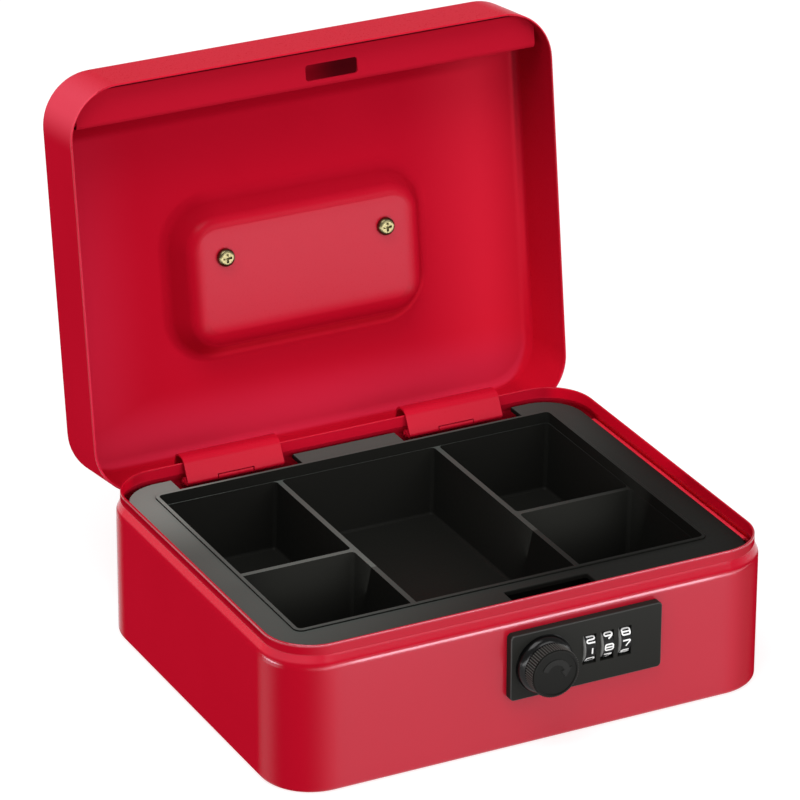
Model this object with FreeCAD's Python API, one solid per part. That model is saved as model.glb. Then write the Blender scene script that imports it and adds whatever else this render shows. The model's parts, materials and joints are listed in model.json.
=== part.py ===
import FreeCAD, Part
import math
import os

# Directions
X_DIR = FreeCAD.Vector(1, 0, 0)
Y_DIR = FreeCAD.Vector(0, 1, 0)
Z_DIR = FreeCAD.Vector(0, 0, 1)
ORIGIN = FreeCAD.Vector(0, 0, 0)
QUARTER_TURN = 90.0
SAME_PLACE = 1e-4

# Pressed sheet used for the box, the lid and the fittings
SHEET = 0.8

# Box body
BODY_WIDTH = 200.0
BODY_DEPTH = 158.6
BODY_CORNER_R = 20.0
FLOOR_EDGE_R = 2.0
SHOULDER_R = 3.5
SHOULDER_LEAN = 24.0
LIP_INSET = 1.6
LIP_BASE_Z = 54.3
LIP_HEIGHT = 4.2

# Lid, drawn closed and then swung open about the hinge
LID_SIDE_STEP = 0.2
LID_SEAT_GAP = 0.1
LID_HEIGHT = 29.86
LID_TOP_R = 4.7
LID_OPEN_ANGLE = 97.4

# Handle dish pressed into the lid
DISH_WIDTH = 112.6
DISH_DEPTH = 67.0
DISH_CENTRE_Y = 10.0
DISH_CORNER_R = 20.0
DISH_DROP = 11.1
DISH_BEND_R = 5.0
DISH_SLOPE = 60.0

# Carrying handle
HANDLE_SCREW_X = 33.7
HANDLE_PIVOT_Y = 0.0
HANDLE_PIVOT_LIFT = 5.6
HANDLE_REACH = 25.0
HANDLE_ARM_X = 41.2
HANDLE_ROD_R = 2.6
HANDLE_GRIP_R = 3.4
HANDLE_GRIP_LENGTH = 62.0
HANDLE_CORNER_R = 7.0
HANDLE_PIN_R = 2.0
HANDLE_PIN_INNER_X = 31.5
HANDLE_HANG_ANGLE = LID_OPEN_ANGLE - QUARTER_TURN
BRACKET_WIDTH = 8.4
BRACKET_LENGTH = 13.0
BRACKET_BASE_HEIGHT = 2.4
BRACKET_EAR_R = 4.2
BRACKET_FILLET = 0.8
HANDLE_SCREW_R = 1.9
HANDLE_SCREW_LENGTH = 4.6
HANDLE_SCREW_HEAD_R = 3.5
HANDLE_SCREW_HEAD_HEIGHT = 2.3
HANDLE_SCREW_HEAD_ROUND = 1.4
HANDLE_SCREW_HOLE_R = 2.2
CROSS_WIDTH = 0.95
CROSS_LENGTH = 3.6
CROSS_DEPTH = 1.2

# Hinges
HINGE_INSET = 2.7
HINGE_DROP = 7.5
HINGE_INNER_X = 26.6
HINGE_OUTER_X = 66.6
EYE_R = 1.5
PIN_R = 0.7
PIN_OVERHANG = 0.4
PIN_CLEARANCE = 0.05
EYE_WINDOW_WIDTH = 16.0
EYE_SIDE_CLEARANCE = 0.3
STRAP_FOOT_REACH = 4.8
STRAP_FOOT_R = 1.0
STRAP_ARCH_START = 0.3
STRAP_ARCH_REACH = 6.4
STRAP_ARCH_RISE = 9.2
STRAP_BEND_R = 3.4
STRAP_TAB_WIDTH = 15.2
STRAP_TAB_RISE = 2.3
STRAP_TAB_HEIGHT = 1.9
STRAP_TAB_SLIT = 0.4
STRAP_WELD_START = 9.45
STRAP_WELD_END = 22.0
LEAF_BEND_R = 2.0
LEAF_JOGGLE_DROP = 3.5
LEAF_PAD_DROP = 5.5
LEAF_LENGTH = 21.0
LEAF_PAD_WIDTH = 32.0

# Strike strip welded inside the lid's front wall
STRIP_END_GAP = 5.0
STRIP_FACE_LIFT = 5.0
STRIP_DEPTH = 16.7
STRIP_FLANGE_RISE = 16.6
STRIP_LIP_RISE = 9.8
STRIP_BEND_R = 1.7
SLOT_LEFT_CLEARANCE = 0.4
SLOT_SWING = 18.5
SLOT_FRONT_CLEARANCE = 3.9
SLOT_REAR_CLEARANCE = 0.5
SLOT_R = 1.2

# Ledges that carry the tray
LEDGE_DROP = 2.9
LEDGE_REACH = 9.0
LEDGE_HEIGHT = 11.4
LEDGE_FRONT_GAP = 0.3
LEDGE_REAR_GAP = 3.8
LEDGE_BEND_R = 1.4

# Lift-out coin tray
TRAY_SIDE_GAP = 5.0
TRAY_FRONT_GAP = 3.9
TRAY_REAR_GAP = 3.7
TRAY_CORNER_R = 16.0
TRAY_FLANGE = 1.8
TRAY_EDGE_R = 0.5
TRAY_SIDE_RIM = 12.6
TRAY_FRONT_RIM = 20.6
TRAY_REAR_RIM = 11.0
TRAY_OPEN_R = 1.8
TRAY_WALL = 1.6
TRAY_FLOOR_Z = 21.6
TRAY_FLOOR = 1.6
TRAY_DIVIDER_DROP = 4.0
TRAY_DIVIDER = 1.8
TRAY_LEFT_DIVIDER_X = -32.7
TRAY_RIGHT_DIVIDER_X = 33.9
TRAY_CROSS_DIVIDER_Y = 0.2
TRAY_DRAFT = 0.035
TRAY_POCKET_R = 1.6
TRAY_POCKET_FLOOR_R = 1.2
TRAY_BEAD_WIDTH = 1.5
TRAY_BEAD_HEIGHT = 0.6
TRAY_BEAD_R = 0.4
TRAY_HINGE_NOTCH_INNER = 5.0
TRAY_HINGE_NOTCH_OUTER = 5.4
TRAY_HOOK_NOTCH_LEFT = 5.2
TRAY_HOOK_NOTCH_SWING = 28.7
TRAY_HOOK_NOTCH_REAR = 5.0
TRAY_NOTCH_R = 0.8

# Lock plate on the front
PLATE_LEFT_X = -12.0
PLATE_RIGHT_X = 49.7
PLATE_LOW_Z = 20.8
PLATE_HIGH_Z = 47.0
PLATE_THICK = 3.2
PLATE_CORNER_R = 1.7
PLATE_EDGE_R = 0.6
COLLAR_R = 11.2
COLLAR_HEIGHT = 3.4
COLLAR_ROUND = 2.8

# Number dials
DIAL_Z = 34.7
DIAL_FIRST_X = 19.9
DIAL_PITCH = 7.2
DIAL_COUNT = 3
DIAL_R = 7.0
DIAL_WIDTH = 5.1
DIAL_PROUD = 0.85
DIAL_EDGE = 0.3
DIAL_CLEARANCE = 0.3
WINDOW_WIDTH = 5.5
WINDOW_HEIGHT = 11.7
CODE_RING_R = 5.0
CODE_WEB = 1.0
CODE_CHAMBER_R = 3.1
CODE_GATE_WIDTH = 1.4
CODE_GATE_R = 2.85

# Code shaft through the dials, with one pin for each dial
SHAFT_R = 1.5
SHAFT_CLEARANCE = 0.05
SHAFT_RIGHT_X = 45.6
SHAFT_PIN_START = 0.8
SHAFT_PIN_LENGTH = 1.0
SHAFT_PIN_WIDTH = 1.0
SHAFT_PIN_R = 2.6
YOKE_WALL = 1.5
YOKE_THICK = 1.5
YOKE_CLEARANCE = 0.15

# Knob, spindle and locking hook
KNOB_X = 1.4
KNOB_Z = 33.4
KNOB_R = 9.6
KNOB_GROOVE_DEPTH = 0.4
KNOB_GROOVES = 60
KNOB_FACE_STEP = 0.5
KNOB_FACE_THICK = 0.5
KNOB_FACE_EDGE = 0.3
KNOB_FACE_RIM = 0.8
KNOB_FACE_RECESS = 0.25
KNOB_FRONT = 12.4
KNOB_GAP = 0.4
SHANK_R = 6.0
SHANK_CLEARANCE = 0.05
SHANK_REAR_GAP = 0.3
SPINDLE_R = 3.0
SPINDLE_SOCKET = 4.5
SPINDLE_FLAT = 2.2
SPINDLE_THREAD_R = 2.0
SPINDLE_SPARE = 0.8
ECCENTRIC_R = 6.0
ECCENTRIC_OFFSET = 1.838
ECCENTRIC_REST_ANGLE = 45.0
ECCENTRIC_THICK = 2.5
HOOK_THICK = 1.8
HOOK_HUB_R = 5.6
HOOK_UPPER = 2.7
HOOK_LOWER = 4.3
HOOK_NOSE = 7.7
HOOK_NOSE_GAP = 0.4
HOOK_NOSE_THICK = 3.1
HOOK_ROUND = 1.0
NUT_FLAT_R = 4.0
NUT_THICK = 2.4
NUT_SIDES = 6

# Lock case behind the front wall
CASE_LEFT_X = -9.6
CASE_RIGHT_X = 46.2
CASE_LOW_Z = 22.5
CASE_HIGH_Z = 46.5
CASE_WALL = 1.6
CASE_DIAL_GAP = 0.35
CASE_RIB = 1.4
CASE_RIB_LIFT = 1.2
COVER_THICK = 0.8
HOOK_GAP = 0.3
LOCK_SCREW_X = 41.8
LOCK_SCREW_LOW_Z = 27.3
LOCK_SCREW_HIGH_Z = 42.0
LOCK_SCREW_R = 1.4
LOCK_SCREW_HEAD_R = 2.7
LOCK_SCREW_HEAD_HEIGHT = 1.7
LOCK_SCREW_GRIP = 2.6
LOCK_BOSS_R = 2.5
SPRING_THICK = 0.3
SPRING_REAR_GAP = 1.3
SPRING_PAD_DEPTH = 2.0
SPRING_WALL_GAP = 0.5
SPRING_TIP_GAP = 0.2
SPRING_FINGER_WIDTH = 3.0
SPRING_STRIP_END = 3.2
WALL_OPENING_MARGIN = 1.0

# Places that follow from the sizes above
SIDE_X = BODY_WIDTH / 2
WALL_Y = -BODY_DEPTH / 2
REAR_Y = BODY_DEPTH / 2
WALL_IN_Y = WALL_Y + SHEET
LIP_TOP_Z = LIP_BASE_Z + LIP_HEIGHT
LID_RIM_Z = LIP_BASE_Z + LID_SEAT_GAP
LID_WIDTH = BODY_WIDTH - 2 * LID_SIDE_STEP
LID_DEPTH = BODY_DEPTH - 2 * LID_SIDE_STEP
LID_CORNER_R = BODY_CORNER_R - LID_SIDE_STEP
LID_TOP_Z = LID_RIM_Z + LID_HEIGHT
LID_REAR_IN_Y = LID_DEPTH / 2 - SHEET
DISH_FLOOR_Z = LID_TOP_Z - DISH_DROP
HANDLE_PIVOT_Z = DISH_FLOOR_Z + HANDLE_PIVOT_LIFT
HINGE_Y = REAR_Y - HINGE_INSET
HINGE_Z = LIP_TOP_Z - HINGE_DROP
STRIP_LOW_Z = LID_RIM_Z + STRIP_FACE_LIFT
STRIP_REAR_Y = WALL_Y + STRIP_DEPTH
LEDGE_TOP_Z = LIP_BASE_Z - LEDGE_DROP
TRAY_HALF_WIDTH = SIDE_X - TRAY_SIDE_GAP
TRAY_FRONT_Y = WALL_Y + TRAY_FRONT_GAP
TRAY_REAR_Y = REAR_Y - TRAY_REAR_GAP
TRAY_OPEN_HALF_WIDTH = TRAY_HALF_WIDTH - TRAY_SIDE_RIM
TRAY_OPEN_FRONT_Y = TRAY_FRONT_Y + TRAY_FRONT_RIM
TRAY_OPEN_REAR_Y = TRAY_REAR_Y - TRAY_REAR_RIM
TRAY_TOP_Z = LEDGE_TOP_Z + TRAY_FLANGE
TRAY_DIVIDER_Z = TRAY_TOP_Z - TRAY_DIVIDER_DROP
PLATE_FACE_Y = WALL_Y - PLATE_THICK
DIAL_Y = PLATE_FACE_Y - DIAL_PROUD + DIAL_R
CASE_REAR_Y = DIAL_Y + DIAL_R + CASE_DIAL_GAP
COVER_REAR_Y = CASE_REAR_Y + COVER_THICK
SPRING_REAR_Y = CASE_REAR_Y - SPRING_REAR_GAP
SPRING_BEND_Y = SPRING_REAR_Y - SPRING_PAD_DEPTH
SPRING_TIP_Y = WALL_IN_Y + SPRING_WALL_GAP
KNOB_FACE_Y = WALL_Y - KNOB_FRONT
KNOB_BACK_Y = PLATE_FACE_Y - COLLAR_HEIGHT - KNOB_GAP
KNOB_FACE_R = KNOB_R - KNOB_FACE_STEP
HOOK_FRONT_Y = COVER_REAR_Y + HOOK_GAP
HOOK_REAR_Y = HOOK_FRONT_Y + HOOK_THICK
HOOK_NOSE_START = STRIP_LOW_Z + SHEET + HOOK_NOSE_GAP - KNOB_Z
HOOK_REACH = HOOK_NOSE_START + HOOK_NOSE_THICK
SPINDLE_END_Y = HOOK_REAR_Y + NUT_THICK + SPINDLE_SPARE


def point(x, y, z):
    return FreeCAD.Vector(x, y, z)


def join(shapes):
    """One solid from pieces that touch or overlap."""
    return shapes[0].multiFuse(shapes[1:]).removeSplitter()


def block(x0, x1, y0, y1, z0, z1):
    return Part.makeBox(x1 - x0, y1 - y0, z1 - z0, point(x0, y0, z0))


def rod(radius, start, end):
    run = end - start
    return Part.makeCylinder(radius, run.Length, start, run)


def rod_x(radius, x0, x1, y, z):
    return rod(radius, point(x0, y, z), point(x1, y, z))


def rod_y(radius, y0, y1, x, z):
    return rod(radius, point(x, y0, z), point(x, y1, z))


def flat(a, b):
    """A plan point on the ground."""
    return point(a, b, 0)


def side(a, b):
    """A section point seen from the right: a runs back, b runs up."""
    return point(0, a, b)


def front(a, b):
    """A section point seen from the front: a runs right, b runs up."""
    return point(a, 0, b)


def turn_arc(centre, radius, start, end, place):
    """Arc edge between two angles in degrees, laid into a plane by place."""
    ends = []
    for angle in (start, (start + end) / 2, end):
        turn = math.radians(angle)
        ends.append(place(centre[0] + radius * math.cos(turn), centre[1] + radius * math.sin(turn)))
    return Part.Arc(*ends).toShape()


def line(a, b, place):
    return Part.makeLine(place(*a), place(*b))


def face_of(edges):
    return Part.Face(Part.Wire(Part.__sortEdges__(edges)))


def rounded_face(a0, a1, b0, b1, radius, place):
    """Rectangle with rounded corners."""
    edges = [
        line((a0 + radius, b0), (a1 - radius, b0), place),
        line((a1, b0 + radius), (a1, b1 - radius), place),
        line((a1 - radius, b1), (a0 + radius, b1), place),
        line((a0, b1 - radius), (a0, b0 + radius), place),
        turn_arc((a0 + radius, b0 + radius), radius, 180, 270, place),
        turn_arc((a1 - radius, b0 + radius), radius, 270, 360, place),
        turn_arc((a1 - radius, b1 - radius), radius, 0, 90, place),
        turn_arc((a0 + radius, b1 - radius), radius, 90, 180, place),
    ]
    return face_of(edges)


def rounded_block(x0, x1, y0, y1, z0, z1, radius):
    """Upright block with rounded upright edges."""
    face = rounded_face(x0, x1, y0, y1, radius, flat)
    face.translate(point(0, 0, z0))
    return face.extrude(point(0, 0, z1 - z0))


def rounded_panel(x0, x1, z0, z1, y0, y1, radius):
    """Block on the front wall with its four corners rounded."""
    face = rounded_face(x0, x1, z0, z1, radius, front)
    face.translate(point(0, y0, 0))
    return face.extrude(point(0, y1 - y0, 0))


def fillet_where(shape, radius, test):
    """Round the edges whose every vertex passes the test."""
    edges = [e for e in shape.Edges if all(test(v.Point) for v in e.Vertexes)]
    return shape.makeFillet(radius, edges)


def near(a, b):
    return abs(a - b) < SAME_PLACE


def mirrored(shape):
    """The same piece on the other side of the box."""
    return shape.mirror(ORIGIN, X_DIR)


def strip_side(path, bend, shift, place):
    """Edges of one side of a bent strip, shift away from its middle line."""
    edges = []
    last = None
    for index in range(len(path) - 1):
        start = FreeCAD.Vector(path[index][0], path[index][1], 0)
        end = FreeCAD.Vector(path[index + 1][0], path[index + 1][1], 0)
        run = (end - start).normalize()
        normal = FreeCAD.Vector(-run.y, run.x, 0)
        if last is None:
            here = start + normal * shift
        else:
            here = add_bend(edges, last, start, run, normal, bend, shift, place)
        stop = end
        if index < len(path) - 2:
            after = FreeCAD.Vector(path[index + 2][0], path[index + 2][1], 0)
            stop = end - run * setback(run, (after - end).normalize(), bend)
        there = stop + normal * shift
        edges.append(line((here.x, here.y), (there.x, there.y), place))
        last = (run, normal, there)
    return edges


def setback(run, following, bend):
    """How far before its corner a bend begins."""
    turn = run.getAngle(following)
    return bend * math.tan(turn / 2)


def add_bend(edges, last, corner, run, normal, bend, shift, place):
    """Append the arc round one corner and return where it ends."""
    last_run, last_normal, last_point = last
    back = setback(last_run, run, bend)
    way = math.copysign(1, last_run.x * run.y - last_run.y * run.x)
    centre = corner + run * back + normal * way * bend
    middle = (last_normal + normal).normalize()
    high = centre - middle * way * (bend - way * shift)
    end = corner + run * back + normal * shift
    arc = Part.Arc(place(last_point.x, last_point.y), place(high.x, high.y), place(end.x, end.y))
    edges.append(arc.toShape())
    return end


def strip_face(path, bend, place):
    """Section of a bent sheet strip."""
    left = strip_side(path, bend, SHEET / 2, place)
    right = strip_side(path, bend, -SHEET / 2, place)
    caps = [
        Part.makeLine(left[0].Vertexes[0].Point, right[0].Vertexes[0].Point),
        Part.makeLine(left[-1].Vertexes[-1].Point, right[-1].Vertexes[-1].Point),
    ]
    return face_of(left + right + caps)


def bent_strip(path, bend, x0, x1):
    """Sheet strip bent along a path of (y, z) points, from x0 across to x1."""
    face = strip_face(path, bend, side)
    face.translate(point(x0, 0, 0))
    return face.extrude(point(x1 - x0, 0, 0))


def swept_ring(face, half_width, half_depth, radius):
    """Carry a wall section round a rounded rectangle; its x is measured from a corner's axis."""
    cx = half_width - radius
    cy = half_depth - radius
    centres = [point(cx, cy, 0), point(-cx, cy, 0), point(-cx, -cy, 0), point(cx, -cy, 0)]
    pieces = []
    for turn, centre in enumerate(centres):
        section = face.copy()
        section.rotate(ORIGIN, Z_DIR, QUARTER_TURN * turn)
        section.translate(centre)
        pieces.append(section.revolve(centre, Z_DIR, QUARTER_TURN))
        section = section.copy()
        section.rotate(centre, Z_DIR, QUARTER_TURN)
        following = centres[(turn + 1) % len(centres)]
        pieces.append(section.extrude(following - centre))
    return pieces


# Box body
def body_section():
    outer = BODY_CORNER_R
    inner = outer - SHEET
    lip_out = outer - LIP_INSET
    lip_in = lip_out - SHEET
    lean = math.radians(SHOULDER_LEAN)
    bend_inset = SHOULDER_R * (1 - math.cos(lean))
    bend_z = LIP_BASE_Z - (LIP_INSET - bend_inset) / math.tan(lean)
    shoulder_z = bend_z - SHOULDER_R * math.sin(lean)
    shoulder = (outer - SHOULDER_R, shoulder_z)
    under_r = SHOULDER_R - SHEET
    under = (shoulder[0] + under_r * math.cos(lean), shoulder_z + under_r * math.sin(lean))
    under_z = under[1] + (under[0] - lip_in) / math.tan(lean)
    foot = (outer - FLOOR_EDGE_R, FLOOR_EDGE_R)
    crown = (lip_out - SHEET / 2, LIP_TOP_Z - SHEET / 2)
    edges = [
        turn_arc(foot, FLOOR_EDGE_R, -90, 0, front),
        line((outer, FLOOR_EDGE_R), (outer, shoulder_z), front),
        turn_arc(shoulder, SHOULDER_R, 0, SHOULDER_LEAN, front),
        line((outer - bend_inset, bend_z), (lip_out, LIP_BASE_Z), front),
        line((lip_out, LIP_BASE_Z), (lip_out, crown[1]), front),
        turn_arc(crown, SHEET / 2, 0, 180, front),
        line((lip_in, crown[1]), (lip_in, under_z), front),
        line((lip_in, under_z), under, front),
        turn_arc(shoulder, under_r, 0, SHOULDER_LEAN, front),
        line((inner, shoulder_z), (inner, FLOOR_EDGE_R), front),
        turn_arc(foot, FLOOR_EDGE_R - SHEET, -90, 0, front),
        line((foot[0], SHEET), (foot[0], 0), front),
    ]
    return face_of(edges)


def make_body_shell():
    half_w = BODY_WIDTH / 2
    half_d = BODY_DEPTH / 2
    pieces = swept_ring(body_section(), half_w, half_d, BODY_CORNER_R)
    in_w = half_w - FLOOR_EDGE_R
    in_d = half_d - FLOOR_EDGE_R
    pieces.append(rounded_block(-in_w, in_w, -in_d, in_d, 0, SHEET, BODY_CORNER_R - FLOOR_EDGE_R))
    shell = join(pieces)
    reach = DIAL_PITCH * (DIAL_COUNT - 1) + DIAL_WIDTH / 2 + WALL_OPENING_MARGIN
    start = DIAL_WIDTH / 2 + WALL_OPENING_MARGIN
    tall = DIAL_R + WALL_OPENING_MARGIN
    x0 = DIAL_FIRST_X - start
    x1 = DIAL_FIRST_X + reach
    opening = block(x0, x1, WALL_Y, WALL_IN_Y, DIAL_Z - tall, DIAL_Z + tall)
    cuts = [opening, rod_y(SHANK_R + WALL_OPENING_MARGIN, WALL_Y, WALL_IN_Y, KNOB_X, KNOB_Z)]
    for z in (LOCK_SCREW_LOW_Z, LOCK_SCREW_HIGH_Z):
        cuts.append(rod_y(LOCK_SCREW_R + PIN_CLEARANCE, WALL_Y, WALL_IN_Y, LOCK_SCREW_X, z))
    return shell.cut(cuts)


def make_ledge():
    """Angle strip on the side wall, between the two corners."""
    wall_x = SIDE_X - SHEET - SHEET / 2
    high = LEDGE_TOP_Z - SHEET / 2
    path = [(SIDE_X - LEDGE_REACH, high), (wall_x, high), (wall_x, LEDGE_TOP_Z - LEDGE_HEIGHT)]
    front_y = WALL_Y + BODY_CORNER_R + LEDGE_FRONT_GAP
    rear_y = REAR_Y - BODY_CORNER_R - LEDGE_REAR_GAP
    ledge = bent_strip(path, LEDGE_BEND_R, front_y, rear_y)
    ledge.rotate(ORIGIN, Z_DIR, -QUARTER_TURN)
    return ledge.mirror(ORIGIN, Y_DIR)


# Hinges
def opened(y, z):
    """Where a point of the closed lid lies once the lid is open."""
    turn = math.radians(LID_OPEN_ANGLE)
    dy = y - HINGE_Y
    dz = z - HINGE_Z
    back = dy * math.cos(turn) + dz * math.sin(turn)
    up = dz * math.cos(turn) - dy * math.sin(turn)
    return (HINGE_Y + back, HINGE_Z + up)


def hinge_middle():
    return (HINGE_INNER_X + HINGE_OUTER_X) / 2


def strap_tab_cutters(foot):
    """Three slits that part a tab from the strap's leaning front."""
    z1 = HINGE_Z + STRAP_TAB_RISE
    z0 = z1 - STRAP_TAB_HEIGHT
    y0 = foot[0] - SHEET
    y1 = HINGE_Y - EYE_R - EYE_SIDE_CLEARANCE
    half = STRAP_TAB_WIDTH / 2
    left = hinge_middle() - half
    right = hinge_middle() + half
    slit = STRAP_TAB_SLIT
    return [
        block(left, right, y0, y1, z1 - slit, z1),
        block(left, left + slit, y0, y1, z0, z1),
        block(right - slit, right, y0, y1, z0, z1),
    ]


def make_hinge_strap():
    """Gooseneck: from the eye forward, up a leaning front, over the lip and down to the lid."""
    weld_y = LID_REAR_IN_Y - SHEET / 2
    arch_z = HINGE_Z + STRAP_ARCH_RISE
    foot = (HINGE_Y - STRAP_FOOT_REACH, HINGE_Z)
    crest = (HINGE_Y + STRAP_ARCH_START, arch_z)
    middle = ((foot[0] + crest[0]) / 2, (foot[1] + crest[1]) / 2)
    path = [
        middle,
        crest,
        (HINGE_Y + STRAP_ARCH_REACH, arch_z),
        opened(weld_y, HINGE_Z + STRAP_WELD_START),
        opened(weld_y, HINGE_Z + STRAP_WELD_END),
    ]
    low_path = [(HINGE_Y, HINGE_Z), foot, middle]
    pieces = [
        bent_strip(path, STRAP_BEND_R, HINGE_INNER_X, HINGE_OUTER_X),
        bent_strip(low_path, STRAP_FOOT_R, HINGE_INNER_X, HINGE_OUTER_X),
        rod_x(EYE_R, HINGE_INNER_X, HINGE_OUTER_X, HINGE_Y, HINGE_Z),
    ]
    half = EYE_WINDOW_WIDTH / 2
    reach = EYE_R + EYE_SIDE_CLEARANCE
    window = block(
        hinge_middle() - half,
        hinge_middle() + half,
        HINGE_Y - reach,
        HINGE_Y + reach,
        HINGE_Z - reach,
        HINGE_Z + reach,
    )
    bore = rod_x(PIN_R + PIN_CLEARANCE, HINGE_INNER_X, HINGE_OUTER_X, HINGE_Y, HINGE_Z)
    return join(pieces).cut([window, bore] + strap_tab_cutters(foot))


def make_hinge_leaf():
    wall_y = REAR_Y - SHEET - SHEET / 2
    eye_y = HINGE_Y + EYE_R - SHEET / 2
    tongue = EYE_WINDOW_WIDTH / 2 - EYE_SIDE_CLEARANCE
    pad = LEAF_PAD_WIDTH / 2
    middle = hinge_middle()
    low = (wall_y, HINGE_Z - LEAF_LENGTH)
    path = [(eye_y, HINGE_Z), (wall_y, HINGE_Z - LEAF_JOGGLE_DROP), low]
    pieces = [
        bent_strip(path, LEAF_BEND_R, middle - tongue, middle + tongue),
        bent_strip([(wall_y, HINGE_Z - LEAF_PAD_DROP), low], LEAF_BEND_R, middle - pad, middle + pad),
        rod_x(EYE_R, middle - tongue, middle + tongue, HINGE_Y, HINGE_Z),
    ]
    leaf = join(pieces)
    return leaf.cut(rod_x(PIN_R, middle - tongue, middle + tongue, HINGE_Y, HINGE_Z))


def make_hinge_pin():
    return rod_x(PIN_R, HINGE_INNER_X - PIN_OVERHANG, HINGE_OUTER_X + PIN_OVERHANG, HINGE_Y, HINGE_Z)


# Lid
def swing_open(shape):
    """Turn a piece of the closed lid to the open pose."""
    shape.rotate(point(0, HINGE_Y, HINGE_Z), X_DIR, -LID_OPEN_ANGLE)
    return shape


def lid_section():
    outer = LID_CORNER_R
    inner = outer - SHEET
    bend_z = LID_TOP_Z - LID_TOP_R
    bend = (outer - LID_TOP_R, bend_z)
    rim = (outer - SHEET / 2, LID_RIM_Z + SHEET / 2)
    edges = [
        turn_arc(rim, SHEET / 2, 180, 360, front),
        line((outer, rim[1]), (outer, bend_z), front),
        turn_arc(bend, LID_TOP_R, 0, 90, front),
        line((bend[0], LID_TOP_Z), (bend[0], LID_TOP_Z - SHEET), front),
        turn_arc(bend, LID_TOP_R - SHEET, 0, 90, front),
        line((inner, bend_z), (inner, rim[1]), front),
    ]
    return face_of(edges)


def dish_run():
    """Width of the sloping side of the dish."""
    bend = 2 * DISH_BEND_R * math.tan(math.radians(DISH_SLOPE) / 2)
    return bend + DISH_DROP / math.tan(math.radians(DISH_SLOPE))


def dish_section():
    flat_run = DISH_BEND_R * math.tan(math.radians(DISH_SLOPE) / 2)
    high = LID_TOP_Z - SHEET / 2
    low = high - DISH_DROP
    path = [
        (DISH_CORNER_R, high),
        (DISH_CORNER_R - flat_run, high),
        (DISH_CORNER_R - dish_run() + flat_run, low),
        (DISH_CORNER_R - dish_run(), low),
    ]
    return strip_face(extend_ends(path), DISH_BEND_R, front)


def extend_ends(path):
    """Lengthen both ends a little so that a bend never starts on the very end."""
    spare = SHEET / 2
    return [(path[0][0] + spare, path[0][1])] + path[1:-1] + [(path[-1][0] - spare, path[-1][1])]


def make_lid_shell():
    half_w = LID_WIDTH / 2
    half_d = LID_DEPTH / 2
    pieces = swept_ring(lid_section(), half_w, half_d, LID_CORNER_R)
    in_w = half_w - LID_TOP_R
    in_d = half_d - LID_TOP_R
    panel = rounded_block(-in_w, in_w, -in_d, in_d, LID_TOP_Z - SHEET, LID_TOP_Z, LID_CORNER_R - LID_TOP_R)
    hole_w = DISH_WIDTH / 2
    hole_d = DISH_DEPTH / 2
    y = DISH_CENTRE_Y
    hole = rounded_block(-hole_w, hole_w, y - hole_d, y + hole_d, LID_TOP_Z - SHEET, LID_TOP_Z, DISH_CORNER_R)
    pieces.append(panel.cut(hole))
    for piece in swept_ring(dish_section(), hole_w, hole_d, DISH_CORNER_R):
        piece.translate(point(0, y, 0))
        pieces.append(piece)
    low_w = hole_w - dish_run()
    low_d = hole_d - dish_run()
    low_r = DISH_CORNER_R - dish_run()
    floor_z = DISH_FLOOR_Z - SHEET
    pieces.append(rounded_block(-low_w, low_w, y - low_d, y + low_d, floor_z, DISH_FLOOR_Z, low_r))
    shell = join(pieces)
    for x in (-HANDLE_SCREW_X, HANDLE_SCREW_X):
        start = point(x, HANDLE_PIVOT_Y, floor_z)
        shell = shell.cut(rod(HANDLE_SCREW_HOLE_R, start, start + point(0, 0, SHEET)))
    return swing_open(shell)


def make_strike_strip():
    wall_y = -LID_DEPTH / 2 + SHEET
    shelf_z = STRIP_LOW_Z + SHEET / 2
    path = [
        (wall_y + SHEET / 2, LID_RIM_Z + STRIP_FLANGE_RISE),
        (wall_y + SHEET / 2, shelf_z),
        (STRIP_REAR_Y - SHEET / 2, shelf_z),
        (STRIP_REAR_Y - SHEET / 2, LID_RIM_Z + STRIP_LIP_RISE),
    ]
    half_length = SIDE_X - STRIP_END_GAP
    strip = bent_strip(path, STRIP_BEND_R, -half_length, half_length)
    in_w = LID_WIDTH / 2 - SHEET
    in_d = LID_DEPTH / 2 - SHEET
    room = rounded_block(-in_w, in_w, -in_d, in_d, LID_RIM_Z, LID_TOP_Z, LID_CORNER_R - SHEET)
    slot = rounded_block(
        KNOB_X - HOOK_UPPER - SLOT_LEFT_CLEARANCE,
        KNOB_X + SLOT_SWING,
        HOOK_FRONT_Y - SLOT_FRONT_CLEARANCE,
        HOOK_REAR_Y + SLOT_REAR_CLEARANCE,
        LID_RIM_Z,
        shelf_z + SHEET,
        SLOT_R,
    )
    return swing_open(strip.common(room).cut(slot))


# Carrying handle
def make_handle_bracket():
    x0 = HANDLE_SCREW_X - BRACKET_WIDTH / 2
    x1 = HANDLE_SCREW_X + BRACKET_WIDTH / 2
    y0 = HANDLE_PIVOT_Y - BRACKET_LENGTH / 2
    y1 = HANDLE_PIVOT_Y + BRACKET_LENGTH / 2
    base = rounded_block(x0, x1, y0, y1, DISH_FLOOR_Z, DISH_FLOOR_Z + BRACKET_BASE_HEIGHT, BRACKET_FILLET)
    ear = rod_x(BRACKET_EAR_R, x0, x1, HANDLE_PIVOT_Y, HANDLE_PIVOT_Z)
    ear_y0 = HANDLE_PIVOT_Y - BRACKET_EAR_R
    ear_y1 = HANDLE_PIVOT_Y + BRACKET_EAR_R
    stem = block(x0, x1, ear_y0, ear_y1, DISH_FLOOR_Z, HANDLE_PIVOT_Z)
    bracket = join([base, stem, ear])
    bore_x = HANDLE_PIN_INNER_X - EYE_SIDE_CLEARANCE
    bore = rod_x(HANDLE_PIN_R + PIN_CLEARANCE, bore_x, x1, HANDLE_PIVOT_Y, HANDLE_PIVOT_Z)
    thread = rod(HANDLE_SCREW_R, point(HANDLE_SCREW_X, HANDLE_PIVOT_Y, DISH_FLOOR_Z), screw_tip())
    return swing_open(bracket.cut([bore, thread]))


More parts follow.
